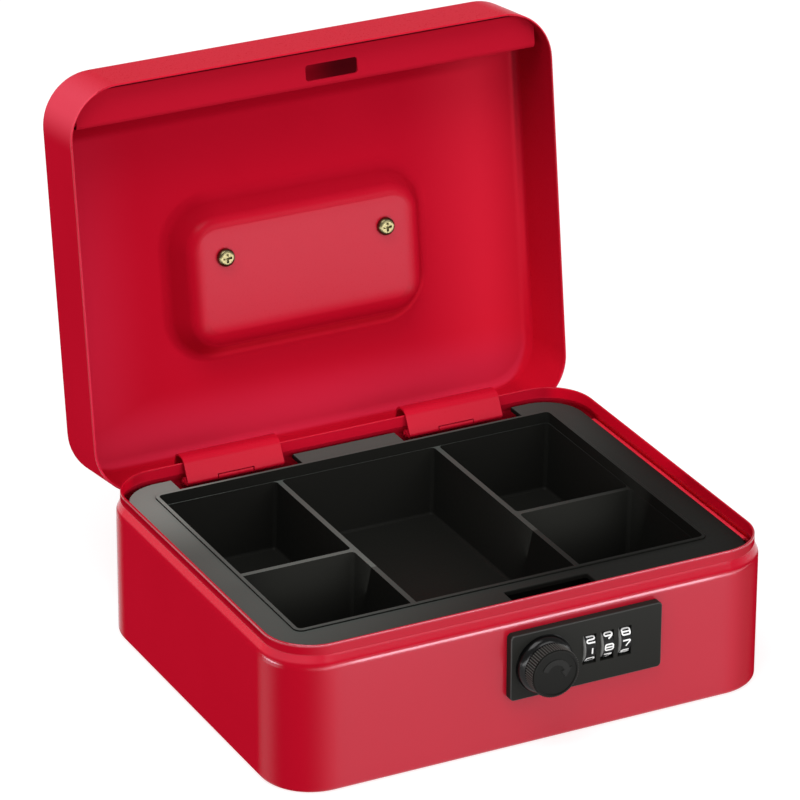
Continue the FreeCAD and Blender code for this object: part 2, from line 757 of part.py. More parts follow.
def screw_tip():
    height = DISH_FLOOR_Z - SHEET + HANDLE_SCREW_LENGTH - HANDLE_SCREW_R
    return point(HANDLE_SCREW_X, HANDLE_PIVOT_Y, height)


def make_handle_screw():
    seat_z = DISH_FLOOR_Z - SHEET
    seat = point(HANDLE_SCREW_X, HANDLE_PIVOT_Y, seat_z)
    low = seat - point(0, 0, HANDLE_SCREW_HEAD_HEIGHT)
    head = rod(HANDLE_SCREW_HEAD_R, low, seat)
    head = fillet_where(head, HANDLE_SCREW_HEAD_ROUND, lambda p: near(p.z, low.z))
    screw = join([head, rod(HANDLE_SCREW_R, seat, screw_tip())])
    return swing_open(screw.cut(cross_cutter(low)))


def cross_cutter(middle):
    """Cross recess that goes up into a screw head from its middle."""
    reach = CROSS_LENGTH / 2
    half = CROSS_WIDTH / 2
    cutters = []
    for a, b in ((reach, half), (half, reach)):
        cutters.append(block(-a, a, -b, b, 0, CROSS_DEPTH))
    cross = join(cutters)
    cross.translate(middle)
    return cross


def make_handle_bail():
    """Bent round rod with a thicker grip, hanging free from its pins on the open lid."""
    y0 = HANDLE_PIVOT_Y
    y1 = HANDLE_PIVOT_Y + HANDLE_REACH
    bend = HANDLE_CORNER_R
    x = HANDLE_ARM_X

    def level(a, b):
        return point(a, b, HANDLE_PIVOT_Z)

    edges = [
        line((x, y0), (x, y1 - bend), level),
        turn_arc((x - bend, y1 - bend), bend, 0, 90, level),
        line((x - bend, y1), (bend - x, y1), level),
        turn_arc((bend - x, y1 - bend), bend, 90, 180, level),
        line((-x, y1 - bend), (-x, y0), level),
    ]
    path = Part.Wire(edges)
    ring = Part.Wire(Part.makeCircle(HANDLE_ROD_R, level(x, y0), Y_DIR))
    rail = path.makePipeShell([ring], True, False)
    half = HANDLE_GRIP_LENGTH / 2
    grip = rod_x(HANDLE_GRIP_R, -half, half, y1, HANDLE_PIVOT_Z)
    grip = fillet_where(grip, HANDLE_GRIP_R - HANDLE_ROD_R, lambda p: True)
    pieces = [rail, grip]
    for way in (-1, 1):
        pieces.append(Part.makeSphere(HANDLE_ROD_R, level(way * x, y0)))
        pieces.append(rod(HANDLE_PIN_R, level(way * HANDLE_PIN_INNER_X, y0), level(way * x, y0)))
    bail = join(pieces)
    bail.rotate(level(0, y0), X_DIR, HANDLE_HANG_ANGLE)
    return swing_open(bail)


# Lift-out tray
def tapered(x0, x1, y0, y1, high, low, radius):
    """Moulded pocket that narrows downward."""
    inset = TRAY_DRAFT * (high - low)
    upper = rounded_face(x0, x1, y0, y1, radius, flat).OuterWire
    upper.translate(point(0, 0, high))
    lower = rounded_face(x0 + inset, x1 - inset, y0 + inset, y1 - inset, radius, flat).OuterWire
    lower.translate(point(0, 0, low))
    return Part.makeLoft([upper, lower], True, True)


def tray_pockets():
    """Five compartments: two each side and a long one for notes."""
    half = TRAY_DIVIDER / 2
    w = TRAY_OPEN_HALF_WIDTH
    left = TRAY_LEFT_DIVIDER_X
    right = TRAY_RIGHT_DIVIDER_X
    cross = TRAY_CROSS_DIVIDER_Y
    columns = [(-w, left - half), (right + half, w)]
    rows = [(TRAY_OPEN_FRONT_Y, cross - half), (cross + half, TRAY_OPEN_REAR_Y)]
    cells = [(left + half, right - half, TRAY_OPEN_FRONT_Y, TRAY_OPEN_REAR_Y)]
    for x0, x1 in columns:
        for y0, y1 in rows:
            cells.append((x0, x1, y0, y1))
    pockets = []
    for x0, x1, y0, y1 in cells:
        pocket = tapered(x0, x1, y0, y1, TRAY_TOP_Z, TRAY_FLOOR_Z, TRAY_POCKET_R)
        pockets.append(fillet_where(pocket, TRAY_POCKET_FLOOR_R, lambda p: near(p.z, TRAY_FLOOR_Z)))
    return pockets


def tray_frame(grow, low, high):
    """Rounded block round the tray's opening, larger by grow on every side."""
    x = TRAY_OPEN_HALF_WIDTH + grow
    front_y = TRAY_OPEN_FRONT_Y - grow
    rear_y = TRAY_OPEN_REAR_Y + grow
    return rounded_block(-x, x, front_y, rear_y, low, high, TRAY_OPEN_R + grow)


def make_tray_flange():
    w = TRAY_HALF_WIDTH
    flange = rounded_block(-w, w, TRAY_FRONT_Y, TRAY_REAR_Y, LEDGE_TOP_Z, TRAY_TOP_Z, TRAY_CORNER_R)
    wall_y = TRAY_OPEN_REAR_Y + TRAY_WALL
    past_y = TRAY_REAR_Y + TRAY_NOTCH_R + TRAY_FLANGE
    cuts = []
    for way in (-1, 1):
        inner_x = HINGE_INNER_X - TRAY_HINGE_NOTCH_INNER
        outer_x = HINGE_OUTER_X + TRAY_HINGE_NOTCH_OUTER
        ends = sorted((way * inner_x, way * outer_x))
        cuts.append(rounded_block(ends[0], ends[1], wall_y, past_y, LEDGE_TOP_Z, TRAY_TOP_Z, TRAY_NOTCH_R))
    past_front = TRAY_FRONT_Y - TRAY_NOTCH_R - TRAY_FLANGE
    x0 = KNOB_X - TRAY_HOOK_NOTCH_LEFT
    x1 = KNOB_X + TRAY_HOOK_NOTCH_SWING
    y1 = HOOK_REAR_Y + TRAY_HOOK_NOTCH_REAR
    cuts.append(rounded_block(x0, x1, past_front, y1, LEDGE_TOP_Z, TRAY_TOP_Z, TRAY_NOTCH_R))
    flange = flange.cut(cuts)
    return fillet_where(flange, TRAY_EDGE_R, lambda p: near(p.z, TRAY_TOP_Z))


def make_coin_tray():
    w = TRAY_OPEN_HALF_WIDTH + TRAY_WALL
    front_y = TRAY_OPEN_FRONT_Y - TRAY_WALL
    rear_y = TRAY_OPEN_REAR_Y + TRAY_WALL
    floor_z = TRAY_FLOOR_Z - TRAY_FLOOR
    tub = tapered(-w, w, front_y, rear_y, TRAY_TOP_Z, floor_z, TRAY_OPEN_R + TRAY_WALL)
    tub = fillet_where(tub, TRAY_POCKET_FLOOR_R, lambda p: near(p.z, floor_z))
    bead_top = TRAY_TOP_Z + TRAY_BEAD_HEIGHT
    bead = tray_frame(TRAY_BEAD_WIDTH, LEDGE_TOP_Z, bead_top)
    bead = fillet_where(bead, TRAY_BEAD_R, lambda p: near(p.z, bead_top))
    tray = join([tub, make_tray_flange(), bead])
    mouth = tray_frame(0, TRAY_DIVIDER_Z, bead_top)
    return tray.cut([mouth] + tray_pockets())


# Lock plate and case
def dial_centres():
    return [DIAL_FIRST_X + DIAL_PITCH * index for index in range(DIAL_COUNT)]


def make_lock_plate():
    size = (PLATE_LEFT_X, PLATE_RIGHT_X, PLATE_LOW_Z, PLATE_HIGH_Z)
    plate = rounded_panel(*size, PLATE_FACE_Y, WALL_Y, PLATE_CORNER_R)
    plate = fillet_where(plate, PLATE_EDGE_R, lambda p: near(p.y, PLATE_FACE_Y))
    collar_y = PLATE_FACE_Y - COLLAR_HEIGHT
    collar = rod_y(COLLAR_R, PLATE_FACE_Y, collar_y, KNOB_X, KNOB_Z)
    collar = fillet_where(collar, COLLAR_ROUND, lambda p: near(p.y, collar_y))
    plate = join([plate, collar])
    cuts = [rod_y(SHANK_R + SHANK_CLEARANCE, collar_y, WALL_Y, KNOB_X, KNOB_Z)]
    for x in dial_centres():
        x0 = x - WINDOW_WIDTH / 2
        x1 = x + WINDOW_WIDTH / 2
        half = WINDOW_HEIGHT / 2
        cuts.append(block(x0, x1, PLATE_FACE_Y, WALL_Y, DIAL_Z - half, DIAL_Z + half))
        cuts.append(rod_x(DIAL_R + DIAL_CLEARANCE, x0, x1, DIAL_Y, DIAL_Z))
    for z in (LOCK_SCREW_LOW_Z, LOCK_SCREW_HIGH_Z):
        cuts.append(rod_y(LOCK_SCREW_R, WALL_Y - LOCK_SCREW_GRIP, WALL_Y, LOCK_SCREW_X, z))
    return plate.cut(cuts)


def make_lock_case():
    outer = block(CASE_LEFT_X, CASE_RIGHT_X, WALL_IN_Y, CASE_REAR_Y, CASE_LOW_Z, CASE_HIGH_Z)
    x0 = CASE_LEFT_X + CASE_WALL
    x1 = CASE_RIGHT_X - CASE_WALL
    z0 = CASE_LOW_Z + CASE_WALL
    z1 = CASE_HIGH_Z - CASE_WALL
    frame = outer.cut(block(x0, x1, WALL_IN_Y, CASE_REAR_Y, z0, z1))
    pieces = [frame]
    first = DIAL_FIRST_X - DIAL_PITCH / 2
    for index in range(DIAL_COUNT + 1):
        x = first + DIAL_PITCH * index
        half = CASE_RIB / 2
        pieces.append(block(x - half, x + half, WALL_IN_Y, CASE_REAR_Y, z0 + CASE_RIB_LIFT, z1))
    for z in (LOCK_SCREW_LOW_Z, LOCK_SCREW_HIGH_Z):
        boss = rod_y(LOCK_BOSS_R, WALL_IN_Y, CASE_REAR_Y, LOCK_SCREW_X, z)
        pieces.append(boss)
        pieces.append(block(LOCK_SCREW_X, x1, WALL_IN_Y, CASE_REAR_Y, z - LOCK_SCREW_R, z + LOCK_SCREW_R))
    case = join(pieces)
    cuts = [rod_x(SHAFT_R + SHAFT_CLEARANCE, first - CASE_RIB, CASE_RIGHT_X, DIAL_Y, DIAL_Z)]
    for z in (LOCK_SCREW_LOW_Z, LOCK_SCREW_HIGH_Z):
        cuts.append(rod_y(LOCK_SCREW_R + PIN_CLEARANCE, WALL_IN_Y, CASE_REAR_Y, LOCK_SCREW_X, z))
    return case.cut(cuts)


def make_lock_cover():
    size = (CASE_LEFT_X, CASE_RIGHT_X, CASE_LOW_Z, CASE_HIGH_Z)
    cover = rounded_panel(*size, CASE_REAR_Y, COVER_REAR_Y, PLATE_CORNER_R)
    cuts = [rod_y(SPINDLE_R + SHAFT_CLEARANCE, CASE_REAR_Y, COVER_REAR_Y, KNOB_X, KNOB_Z)]
    for z in (LOCK_SCREW_LOW_Z, LOCK_SCREW_HIGH_Z):
        cuts.append(rod_y(LOCK_SCREW_R + PIN_CLEARANCE, CASE_REAR_Y, COVER_REAR_Y, LOCK_SCREW_X, z))
    return cover.cut(cuts)


def make_lock_screw(z):
    head_y = COVER_REAR_Y + LOCK_SCREW_HEAD_HEIGHT
    head = rod_y(LOCK_SCREW_HEAD_R, COVER_REAR_Y, head_y, LOCK_SCREW_X, z)
    head = fillet_where(head, LOCK_SCREW_HEAD_HEIGHT / 2, lambda p: near(p.y, head_y))
    shank = rod_y(LOCK_SCREW_R, WALL_Y - LOCK_SCREW_GRIP, COVER_REAR_Y, LOCK_SCREW_X, z)
    cross = cross_cutter(ORIGIN)
    cross.rotate(ORIGIN, X_DIR, QUARTER_TURN)
    cross.translate(point(LOCK_SCREW_X, head_y, z))
    return join([head, shank]).cut(cross)


def make_detent_spring():
    floor_z = CASE_LOW_Z + CASE_WALL + SPRING_THICK / 2
    tip_z = DIAL_Z - DIAL_R - SPRING_TIP_GAP - SPRING_THICK / 2
    slope = (tip_z - floor_z) / (SPRING_BEND_Y - SPRING_TIP_Y)
    half = SPRING_FINGER_WIDTH / 2
    pieces = []
    for x in dial_centres():
        edges = [
            (SPRING_REAR_Y, floor_z - SPRING_THICK / 2),
            (SPRING_BEND_Y, floor_z - SPRING_THICK / 2),
            (SPRING_TIP_Y, tip_z - SPRING_THICK / 2),
            (SPRING_TIP_Y, tip_z + SPRING_THICK / 2),
            (SPRING_BEND_Y + slope * SPRING_THICK, floor_z + SPRING_THICK / 2),
            (SPRING_REAR_Y, floor_z + SPRING_THICK / 2),
        ]
        corners = [side(*corner) for corner in edges + edges[:1]]
        finger = Part.Face(Part.makePolygon(corners)).extrude(point(SPRING_FINGER_WIDTH, 0, 0))
        finger.translate(point(x - half, 0, 0))
        pieces.append(finger)
    x0 = dial_centres()[0] - SPRING_STRIP_END
    x1 = dial_centres()[-1] + SPRING_STRIP_END
    low = floor_z - SPRING_THICK / 2
    pieces.append(block(x0, x1, SPRING_BEND_Y, SPRING_REAR_Y, low, low + SPRING_THICK))
    return join(pieces)


# Dials and code shaft
def make_number_ring(x):
    half = DIAL_WIDTH / 2
    ring = rod_x(DIAL_R, x - half, x + half, DIAL_Y, DIAL_Z)
    ring = ring.makeChamfer(DIAL_EDGE, [e for e in ring.Edges if e.Closed])
    return ring.cut(rod_x(CODE_RING_R, x - half, x + half, DIAL_Y, DIAL_Z))


def make_code_ring(x):
    half = DIAL_WIDTH / 2
    web = CODE_WEB / 2
    ring = rod_x(CODE_RING_R, x - half, x + half, DIAL_Y, DIAL_Z)
    gate_y = CODE_GATE_WIDTH / 2
    cuts = [
        rod_x(CODE_CHAMBER_R, x - half, x - web, DIAL_Y, DIAL_Z),
        rod_x(CODE_CHAMBER_R, x + web, x + half, DIAL_Y, DIAL_Z),
        rod_x(SHAFT_R + SHAFT_CLEARANCE, x - half, x + half, DIAL_Y, DIAL_Z),
        block(x - half, x + half, DIAL_Y - gate_y, DIAL_Y + gate_y, DIAL_Z, DIAL_Z + CODE_GATE_R),
    ]
    return ring.cut(cuts)


def eccentric_centre():
    turn = math.radians(ECCENTRIC_REST_ANGLE)
    return (KNOB_X + ECCENTRIC_OFFSET * math.cos(turn), KNOB_Z + ECCENTRIC_OFFSET * math.sin(turn))


def make_code_shaft():
    x, z = eccentric_centre()
    inner = ECCENTRIC_R + YOKE_CLEARANCE
    outer = inner + YOKE_WALL
    low = z - inner
    high = KNOB_Z + ECCENTRIC_OFFSET + inner
    y0 = DIAL_Y - YOKE_THICK / 2
    y1 = DIAL_Y + YOKE_THICK / 2
    yoke = block(x - outer, x + outer, y0, y1, low - YOKE_WALL, high + YOKE_WALL)
    yoke = yoke.cut(block(x - inner, x + inner, y0, y1, low, high))
    pieces = [yoke, rod_x(SHAFT_R, x + inner + YOKE_WALL / 2, SHAFT_RIGHT_X, DIAL_Y, DIAL_Z)]
    half = SHAFT_PIN_WIDTH / 2
    for centre in dial_centres():
        start = centre + SHAFT_PIN_START
        end = start + SHAFT_PIN_LENGTH
        pieces.append(block(start, end, DIAL_Y - half, DIAL_Y + half, DIAL_Z, DIAL_Z + SHAFT_PIN_R))
    return join(pieces)


# Knob, spindle and hook
def make_lock_knob():
    corners = []
    for index in range(2 * KNOB_GROOVES + 1):
        radius = KNOB_R if index % 2 else KNOB_R - KNOB_GROOVE_DEPTH
        turn = math.pi * index / KNOB_GROOVES
        corners.append(front(KNOB_X + radius * math.cos(turn), KNOB_Z + radius * math.sin(turn)))
    band = Part.Face(Part.makePolygon(corners))
    band.translate(point(0, KNOB_BACK_Y, 0))
    front_y = KNOB_FACE_Y + KNOB_FACE_THICK
    band = band.extrude(point(0, front_y - KNOB_BACK_Y, 0))
    face = rod_y(KNOB_FACE_R, front_y, KNOB_FACE_Y, KNOB_X, KNOB_Z)
    face = fillet_where(face, KNOB_FACE_EDGE, lambda p: near(p.y, KNOB_FACE_Y))
    shank = rod_y(SHANK_R, KNOB_BACK_Y, WALL_Y - SHANK_REAR_GAP, KNOB_X, KNOB_Z)
    knob = join([band, face, shank])
    recess_r = KNOB_FACE_R - KNOB_FACE_RIM
    recess = rod_y(recess_r, KNOB_FACE_Y, KNOB_FACE_Y + KNOB_FACE_RECESS, KNOB_X, KNOB_Z)
    socket = rod_y(SPINDLE_R, WALL_Y - SPINDLE_SOCKET, WALL_Y, KNOB_X, KNOB_Z)
    return knob.cut([recess, socket])


def hook_seat():
    """Spindle end with two flats, where the hook is keyed."""
    seat = rod_y(SPINDLE_R, HOOK_FRONT_Y, HOOK_REAR_Y, KNOB_X, KNOB_Z)
    keep = block(
        KNOB_X - SPINDLE_R,
        KNOB_X + SPINDLE_R,
        HOOK_FRONT_Y,
        HOOK_REAR_Y,
        KNOB_Z - SPINDLE_FLAT,
        KNOB_Z + SPINDLE_FLAT,
    )
    return seat.common(keep)


def make_knob_spindle():
    body = rod_y(SPINDLE_R, WALL_Y - SPINDLE_SOCKET, HOOK_FRONT_Y, KNOB_X, KNOB_Z)
    thread = rod_y(SPINDLE_THREAD_R, HOOK_REAR_Y, SPINDLE_END_Y, KNOB_X, KNOB_Z)
    return join([body, hook_seat(), thread])


def make_eccentric():
    x, z = eccentric_centre()
    y0 = DIAL_Y - ECCENTRIC_THICK / 2
    y1 = DIAL_Y + ECCENTRIC_THICK / 2
    disc = rod_y(ECCENTRIC_R, y0, y1, x, z)
    return disc.cut(rod_y(SPINDLE_R, y0, y1, KNOB_X, KNOB_Z))


def make_hook_cam():
    hub = rod_y(HOOK_HUB_R, HOOK_FRONT_Y, HOOK_REAR_Y, KNOB_X, KNOB_Z)
    x1 = KNOB_X + HOOK_REACH
    low = KNOB_Z - HOOK_LOWER
    arm = rounded_panel(KNOB_X, x1, low, KNOB_Z + HOOK_UPPER, HOOK_FRONT_Y, HOOK_REAR_Y, HOOK_ROUND)
    nose_x = KNOB_X + HOOK_NOSE_START
    nose = rounded_panel(nose_x, x1, low, KNOB_Z + HOOK_NOSE, HOOK_FRONT_Y, HOOK_REAR_Y, HOOK_ROUND)
    return join([hub, arm, nose]).cut(hook_seat())


def make_spindle_nut():
    corner_r = NUT_FLAT_R / math.cos(math.pi / NUT_SIDES)
    corners = []
    for index in range(NUT_SIDES + 1):
        turn = 2 * math.pi * index / NUT_SIDES
        corners.append(front(KNOB_X + corner_r * math.cos(turn), KNOB_Z + corner_r * math.sin(turn)))
    nut = Part.Face(Part.makePolygon(corners)).extrude(point(0, NUT_THICK, 0))
    nut.translate(point(0, HOOK_REAR_Y, 0))
    return nut.cut(rod_y(SPINDLE_THREAD_R, HOOK_REAR_Y, HOOK_REAR_Y + NUT_THICK, KNOB_X, KNOB_Z))


# All pieces
def make_pairs():
    """Pieces that the box has once on each side; each maker draws the right-hand one."""
    makers = {
        "tray_ledge": make_ledge,
        "hinge_leaf": make_hinge_leaf,
        "hinge_pin": make_hinge_pin,
        "hinge_strap": make_hinge_strap,
        "handle_bracket": make_handle_bracket,
        "handle_screw": make_handle_screw,
    }
    parts = {}
    for name, make in makers.items():
        right = make()
        parts[name + "_right"] = right
        parts[name + "_left"] = mirrored(right)
    return parts


def make_parts():
    parts = {
        "body_shell": make_body_shell(),
        "lid_shell": make_lid_shell(),
        "strike_strip": make_strike_strip(),
        "handle_bail": make_handle_bail(),
        "coin_tray": make_coin_tray(),
        "lock_plate": make_lock_plate(),
        "lock_case": make_lock_case(),
        "lock_cover": make_lock_cover(),
        "lock_screw_low": make_lock_screw(LOCK_SCREW_LOW_Z),
        "lock_screw_high": make_lock_screw(LOCK_SCREW_HIGH_Z),
        "detent_spring": make_detent_spring(),
        "code_shaft": make_code_shaft(),
        "lock_knob": make_lock_knob(),
        "knob_spindle": make_knob_spindle(),
        "knob_eccentric": make_eccentric(),
        "hook_cam": make_hook_cam(),
        "spindle_nut": make_spindle_nut(),
    }
    for index, x in enumerate(dial_centres(), start=1):
        parts["number_ring_%d" % index] = make_number_ring(x)
        parts["code_ring_%d" % index] = make_code_ring(x)
    parts.update(make_pairs())
    return parts


os.makedirs("parts", exist_ok=True)
for node, shape in make_parts().items():
    shape.exportStep("parts/" + node + ".step")
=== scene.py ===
import json
import math

import bpy
from mathutils import Matrix, Vector


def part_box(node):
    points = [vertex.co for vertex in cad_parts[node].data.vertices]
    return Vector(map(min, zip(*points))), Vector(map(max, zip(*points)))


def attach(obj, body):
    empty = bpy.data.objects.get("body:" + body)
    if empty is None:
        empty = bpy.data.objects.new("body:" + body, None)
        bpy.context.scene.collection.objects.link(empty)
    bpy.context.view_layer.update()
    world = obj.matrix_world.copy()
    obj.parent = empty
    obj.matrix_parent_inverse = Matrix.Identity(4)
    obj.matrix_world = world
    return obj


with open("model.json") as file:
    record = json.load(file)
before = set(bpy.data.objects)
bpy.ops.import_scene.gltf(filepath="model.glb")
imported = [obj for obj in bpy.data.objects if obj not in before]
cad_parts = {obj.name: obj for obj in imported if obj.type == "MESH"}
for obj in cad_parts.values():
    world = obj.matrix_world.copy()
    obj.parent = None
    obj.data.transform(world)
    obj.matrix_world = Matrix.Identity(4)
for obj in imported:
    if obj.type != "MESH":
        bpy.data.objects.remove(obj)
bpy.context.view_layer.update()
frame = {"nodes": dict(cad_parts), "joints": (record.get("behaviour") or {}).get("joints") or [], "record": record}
nodes = frame["nodes"]
joints = {joint["name"]: joint for joint in frame["joints"]}

# Units, axes and directions
METRE = 1.0
MM = 0.001 * METRE
X, Y, Z = 0, 1, 2
FORWARD = -1.0
UP = Vector((0.0, 0.0, 1.0))
WHITE = (1.0, 1.0, 1.0, 1.0)

# Camera, in metres and degrees
CAMERA_PLACE = Vector((-0.78324, -1.50455, 0.89628))
CAMERA_YAW = -27.062
CAMERA_PITCH = 25.070
CAMERA_ROLL = 0.233
CAMERA_LENS_MM = 231.516
CAMERA_SENSOR_MM = 36.0
CAMERA_NEAR = 0.05
CAMERA_FAR = 30.0

# Lamps, in metres and watts
WORLD_STRENGTH = 0.47
LIGHT_AIM = Vector((0.0, -0.02, 0.06))
KEY_PLACE = Vector((0.7, -1.85, 0.95))
KEY_SIZE = (1.2, 0.9)
KEY_POWER = 12.5
TOP_PLACE = Vector((-0.6, -0.45, 1.8))
TOP_SIZE = (1.3, 1.3)
TOP_POWER = 25.0
BOUNCE_PLACE = Vector((0.0, -0.02, 0.066))
BOUNCE_AIM = Vector((0.0, 0.10, 0.10))
BOUNCE_SIZE = (0.15, 0.06)
BOUNCE_POWER = 0.065

# Floor
FLOOR_SIZE = 8.0
FLOOR_GLOW = 0.75
FLOOR_DEEP = (0.34, 0.34, 0.34)
FLOOR_PALE = (0.36, 0.36, 0.36)
FLOOR_DRIFT = 2.0
FLOOR_ROUGH = 0.8

# Bright sheets on the floor, seen only as gloss on the paint
SHEET_HEIGHT = 0.004
FRONT_SHEET_PLACE = Vector((0.4, -1.06, SHEET_HEIGHT))
FRONT_SHEET_SIZE = (2.4, 1.68)
FRONT_SHEET_POWER = 100.0
LEFT_SHEET_PLACE = Vector((-0.75, 0.05, SHEET_HEIGHT))
LEFT_SHEET_SIZE = (0.8, 0.5)
LEFT_SHEET_POWER = 7.0

# Slow drift and fine grain of every finish, in waves per metre
DRIFT_SCALE = 14.0
DRIFT_DETAIL = 3.0
DRIFT_LOW = 0.3
DRIFT_HIGH = 0.7
GRAIN_DETAIL = 2.0
PLAIN_SPECULAR = 0.5

# Red paint
RED_DEEP = (0.455, 0.0042, 0.0180)
RED_WARM = (0.475, 0.0050, 0.0205)
PAINT_ROUGH = (0.27, 0.33)
PAINT_GRAIN = 1500.0
PAINT_RELIEF = 0.006 * MM
GLOSS_TINT = (1.0, 0.86, 1.0, 1.0)
MATTE = 0.0
FITTING_SHEEN = 0.08
# Ledges under the tray: a brighter red that is painted light and painted sheen
LEDGE_LIT_DEEP = (0.80, 0.030, 0.060)
LEDGE_LIT_WARM = (0.86, 0.040, 0.075)
LEDGE_SHEEN = 0.4

# Corners of the box; angles run in degrees from the front round to the side
BODY_LOW, BODY_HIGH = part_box("body_shell")
CORNER_R = 20.0 * MM
CORNER_X = BODY_HIGH.x - CORNER_R
CORNER_Y = -BODY_LOW.y - CORNER_R
# Painted shade: a darker red on the walls round each corner
CORNER_SHADE_RED = (0.405, 0.0036, 0.0158)
CORNER_SHADE_LOW = 25.0
CORNER_SHADE_HIGH = 58.0
CORNER_SHADE_FADE = 26.0

# Upright walls of the box
BODY_ROUGH = 0.2
FRONT_SHEEN = 0.48
FRONT_SHEEN_FULL = -12.0
FRONT_SHEEN_END = 46.0
BAND_SHEEN = 0.145
BAND_ANGLE = 74.5
BAND_HALF_WIDTH = 25.0

# Bend between wall and shoulder
BEND_HEIGHT = 49.9 * MM
BEND_REACH = 1.4 * MM
BEND_FADE = 0.4 * MM
BEND_ROUGH = 0.13
BEND_SHEEN = 0.8
BEND_FRONT_FULL = -30.0
BEND_FRONT_END = 4.0
BEND_SPOT_ANGLE = 70.0
BEND_SPOT_FULL = 4.0
BEND_SPOT_END = 21.0
SOFT_BEND_LOW = 48.7 * MM
SOFT_BEND_HIGH = 51.5 * MM
SOFT_BEND_DROP = 0.25 * MM

# Slope of the shoulder; its lighter reds are painted light from above
SLOPE_HEIGHT = 51.2 * MM
SLOPE_LOW = 52.2 * MM
SLOPE_TOP = 54.0 * MM
SLOPE_FADE = 0.9 * MM
SLOPE_SHEEN = 0.09
SLOPE_CORNER_SHEEN = 0.6
SLOPE_CORNER_START = 0.0
SLOPE_CORNER_FULL = 35.0
SLOPE_SIDE_SHEEN = 0.17
SLOPE_SIDE_START = 60.0
SLOPE_SIDE_FULL = 95.0
SLOPE_LIT_RED = (0.520, 0.0070, 0.0260)
SLOPE_LIGHT_START = -15.0
SLOPE_LIGHT_FULL = 30.0
SLOPE_SIDE_LIT_RED = (0.680, 0.0080, 0.0300)

# Lip and its rounded top, with painted shade under the top at the sides and painted light on the inner sides
LIP_SHEEN = 0.22
LIP_SHEEN_FULL = -10.0
LIP_SHEEN_END = 40.0
LIP_SHADE_RED = (0.270, 0.0015, 0.0080)
LIP_SHADE_TOP = 57.6 * MM
LIP_SHADE_START = 60.0
LIP_SHADE_FULL = 100.0
LIP_INNER_LIT_RED = (0.600, 0.0030, 0.0180)
CROWN_HEIGHT = 57.8 * MM
CROWN_SHEEN = 0.8
CROWN_REAR_SHEEN = 0.15
CROWN_FRONT = -40.0 * MM
CROWN_REAR = 60.0 * MM

# Place along an axis times the way faced, which tells outer walls from inner ones
OUTWARD = 0.04
INWARD_FULL = -0.06
INWARD_END = -0.03

# Lid frame, worked out from the hinge; the lid's sizes below are those of the shut lid
LID_OPEN_ANGLE = math.radians(joints["lid_hinge"]["range_deg"][1])
HINGE_POINT = Vector(joints["lid_hinge"]["pos_m"])

# Outside of the lid, with painted light on its front wall and a painted highlight at its front corners
FACING_START = 0.3
FACING_FULL = 0.7
LID_OUTER_SHEEN = 0.3
LID_FRONT = -78.6 * MM
LID_FRONT_END = -70.0 * MM
LID_FRONT_SHEEN = 0.018
# Painted light: a lighter red on the outside of the lid's front wall
LID_FRONT_LIT_RED = (0.600, 0.0060, 0.0260)
LID_CORNER_START = -5.0
LID_CORNER_FULL = 42.0
LID_CORNER_FALL = 58.0
LID_CORNER_END = 100.0
LID_CORNER_OUTWARD = 0.012
# Painted highlight: a lighter, pinker red at the lid's two front corners
LID_CORNER_HIGHLIGHT_RED = (0.710, 0.0570, 0.0925)
LID_RIM = 55.0 * MM
LID_RIM_SHEEN = 0.05

# Inside of the lid, with painted light towards the hinge, the left and the right
PANEL_LOW = 79.0 * MM
PANEL_FADE = 0.4 * MM
PANEL_LIT_RED = (0.640, 0.0120, 0.0340)
RIGHT_START = 45.0 * MM
RIGHT_FULL = 95.0 * MM
RIGHT_SHEEN = 0.008
PALE_LIT_RED = (0.600, 0.0200, 0.0560)
PALE_REAR_START = 50.0 * MM
PALE_REAR_FULL = 72.0 * MM
PALE_LEFT_START = -60.0 * MM
PALE_LEFT_FULL = -92.0 * MM
PALE_LEFT_SHARE = 0.65
PALE_FRONT_START = -70.0 * MM
PALE_FRONT_END = 30.0 * MM
PALE_FRONT_SHARE = 0.35
# Painted shade on the inner side walls towards the front, painted light towards the rear
WALL_SHADE_RED = (0.256, 0.0020, 0.0095)
WALL_DARK_FULL = -75.0 * MM
WALL_DARK_END = 25.0 * MM
WALL_LIT_RED = (0.577, 0.0060, 0.0240)
WALL_LIGHT_START = 15.0 * MM
WALL_LIGHT_FULL = 60.0 * MM

# Flat middle of the handle dish
PLATEAU_HALF_WIDTH = 47.0 * MM
PLATEAU_FRONT = -22.0 * MM
PLATEAU_FRONT_FULL = -7.0 * MM
PLATEAU_REAR_FULL = 24.5 * MM
PLATEAU_REAR = 30.5 * MM
PLATEAU_HEIGHT = 72.4 * MM
PLATEAU_REACH = 3.0 * MM
PLATEAU_EDGE = 6.0 * MM
PLATEAU_SHEEN = 0.095

# Painted shade on the slope round the handle dish and painted light along its crease, with distances out from the
# dish's outline
DISH_HALF_WIDTH = 56.3 * MM
DISH_HALF_DEPTH = 33.5 * MM
DISH_CENTRE_Y = 10.0 * MM
DISH_CORNER_R = 20.0 * MM
DISH_SHADE_RED = (0.365, 0.0025, 0.0125)
DISH_FOOT = -10.5 * MM
DISH_LEFT_HIGH = -1.5 * MM
DISH_LEFT_SHARE = 0.6
DISH_LEFT_START = -30.0 * MM
DISH_LEFT_FULL = -44.0 * MM
DISH_FADE = 2.2 * MM
DISH_REAR_FOOT = -13.5 * MM
DISH_REAR_HIGH = -9.5 * MM
DISH_REAR_START = 22.0 * MM
DISH_REAR_FULL = 33.0 * MM
DISH_REAR_FADE = 1.2 * MM
CREASE_LOW = -7.0 * MM
CREASE_HIGH = -2.0 * MM
CREASE_SHARE = 0.6
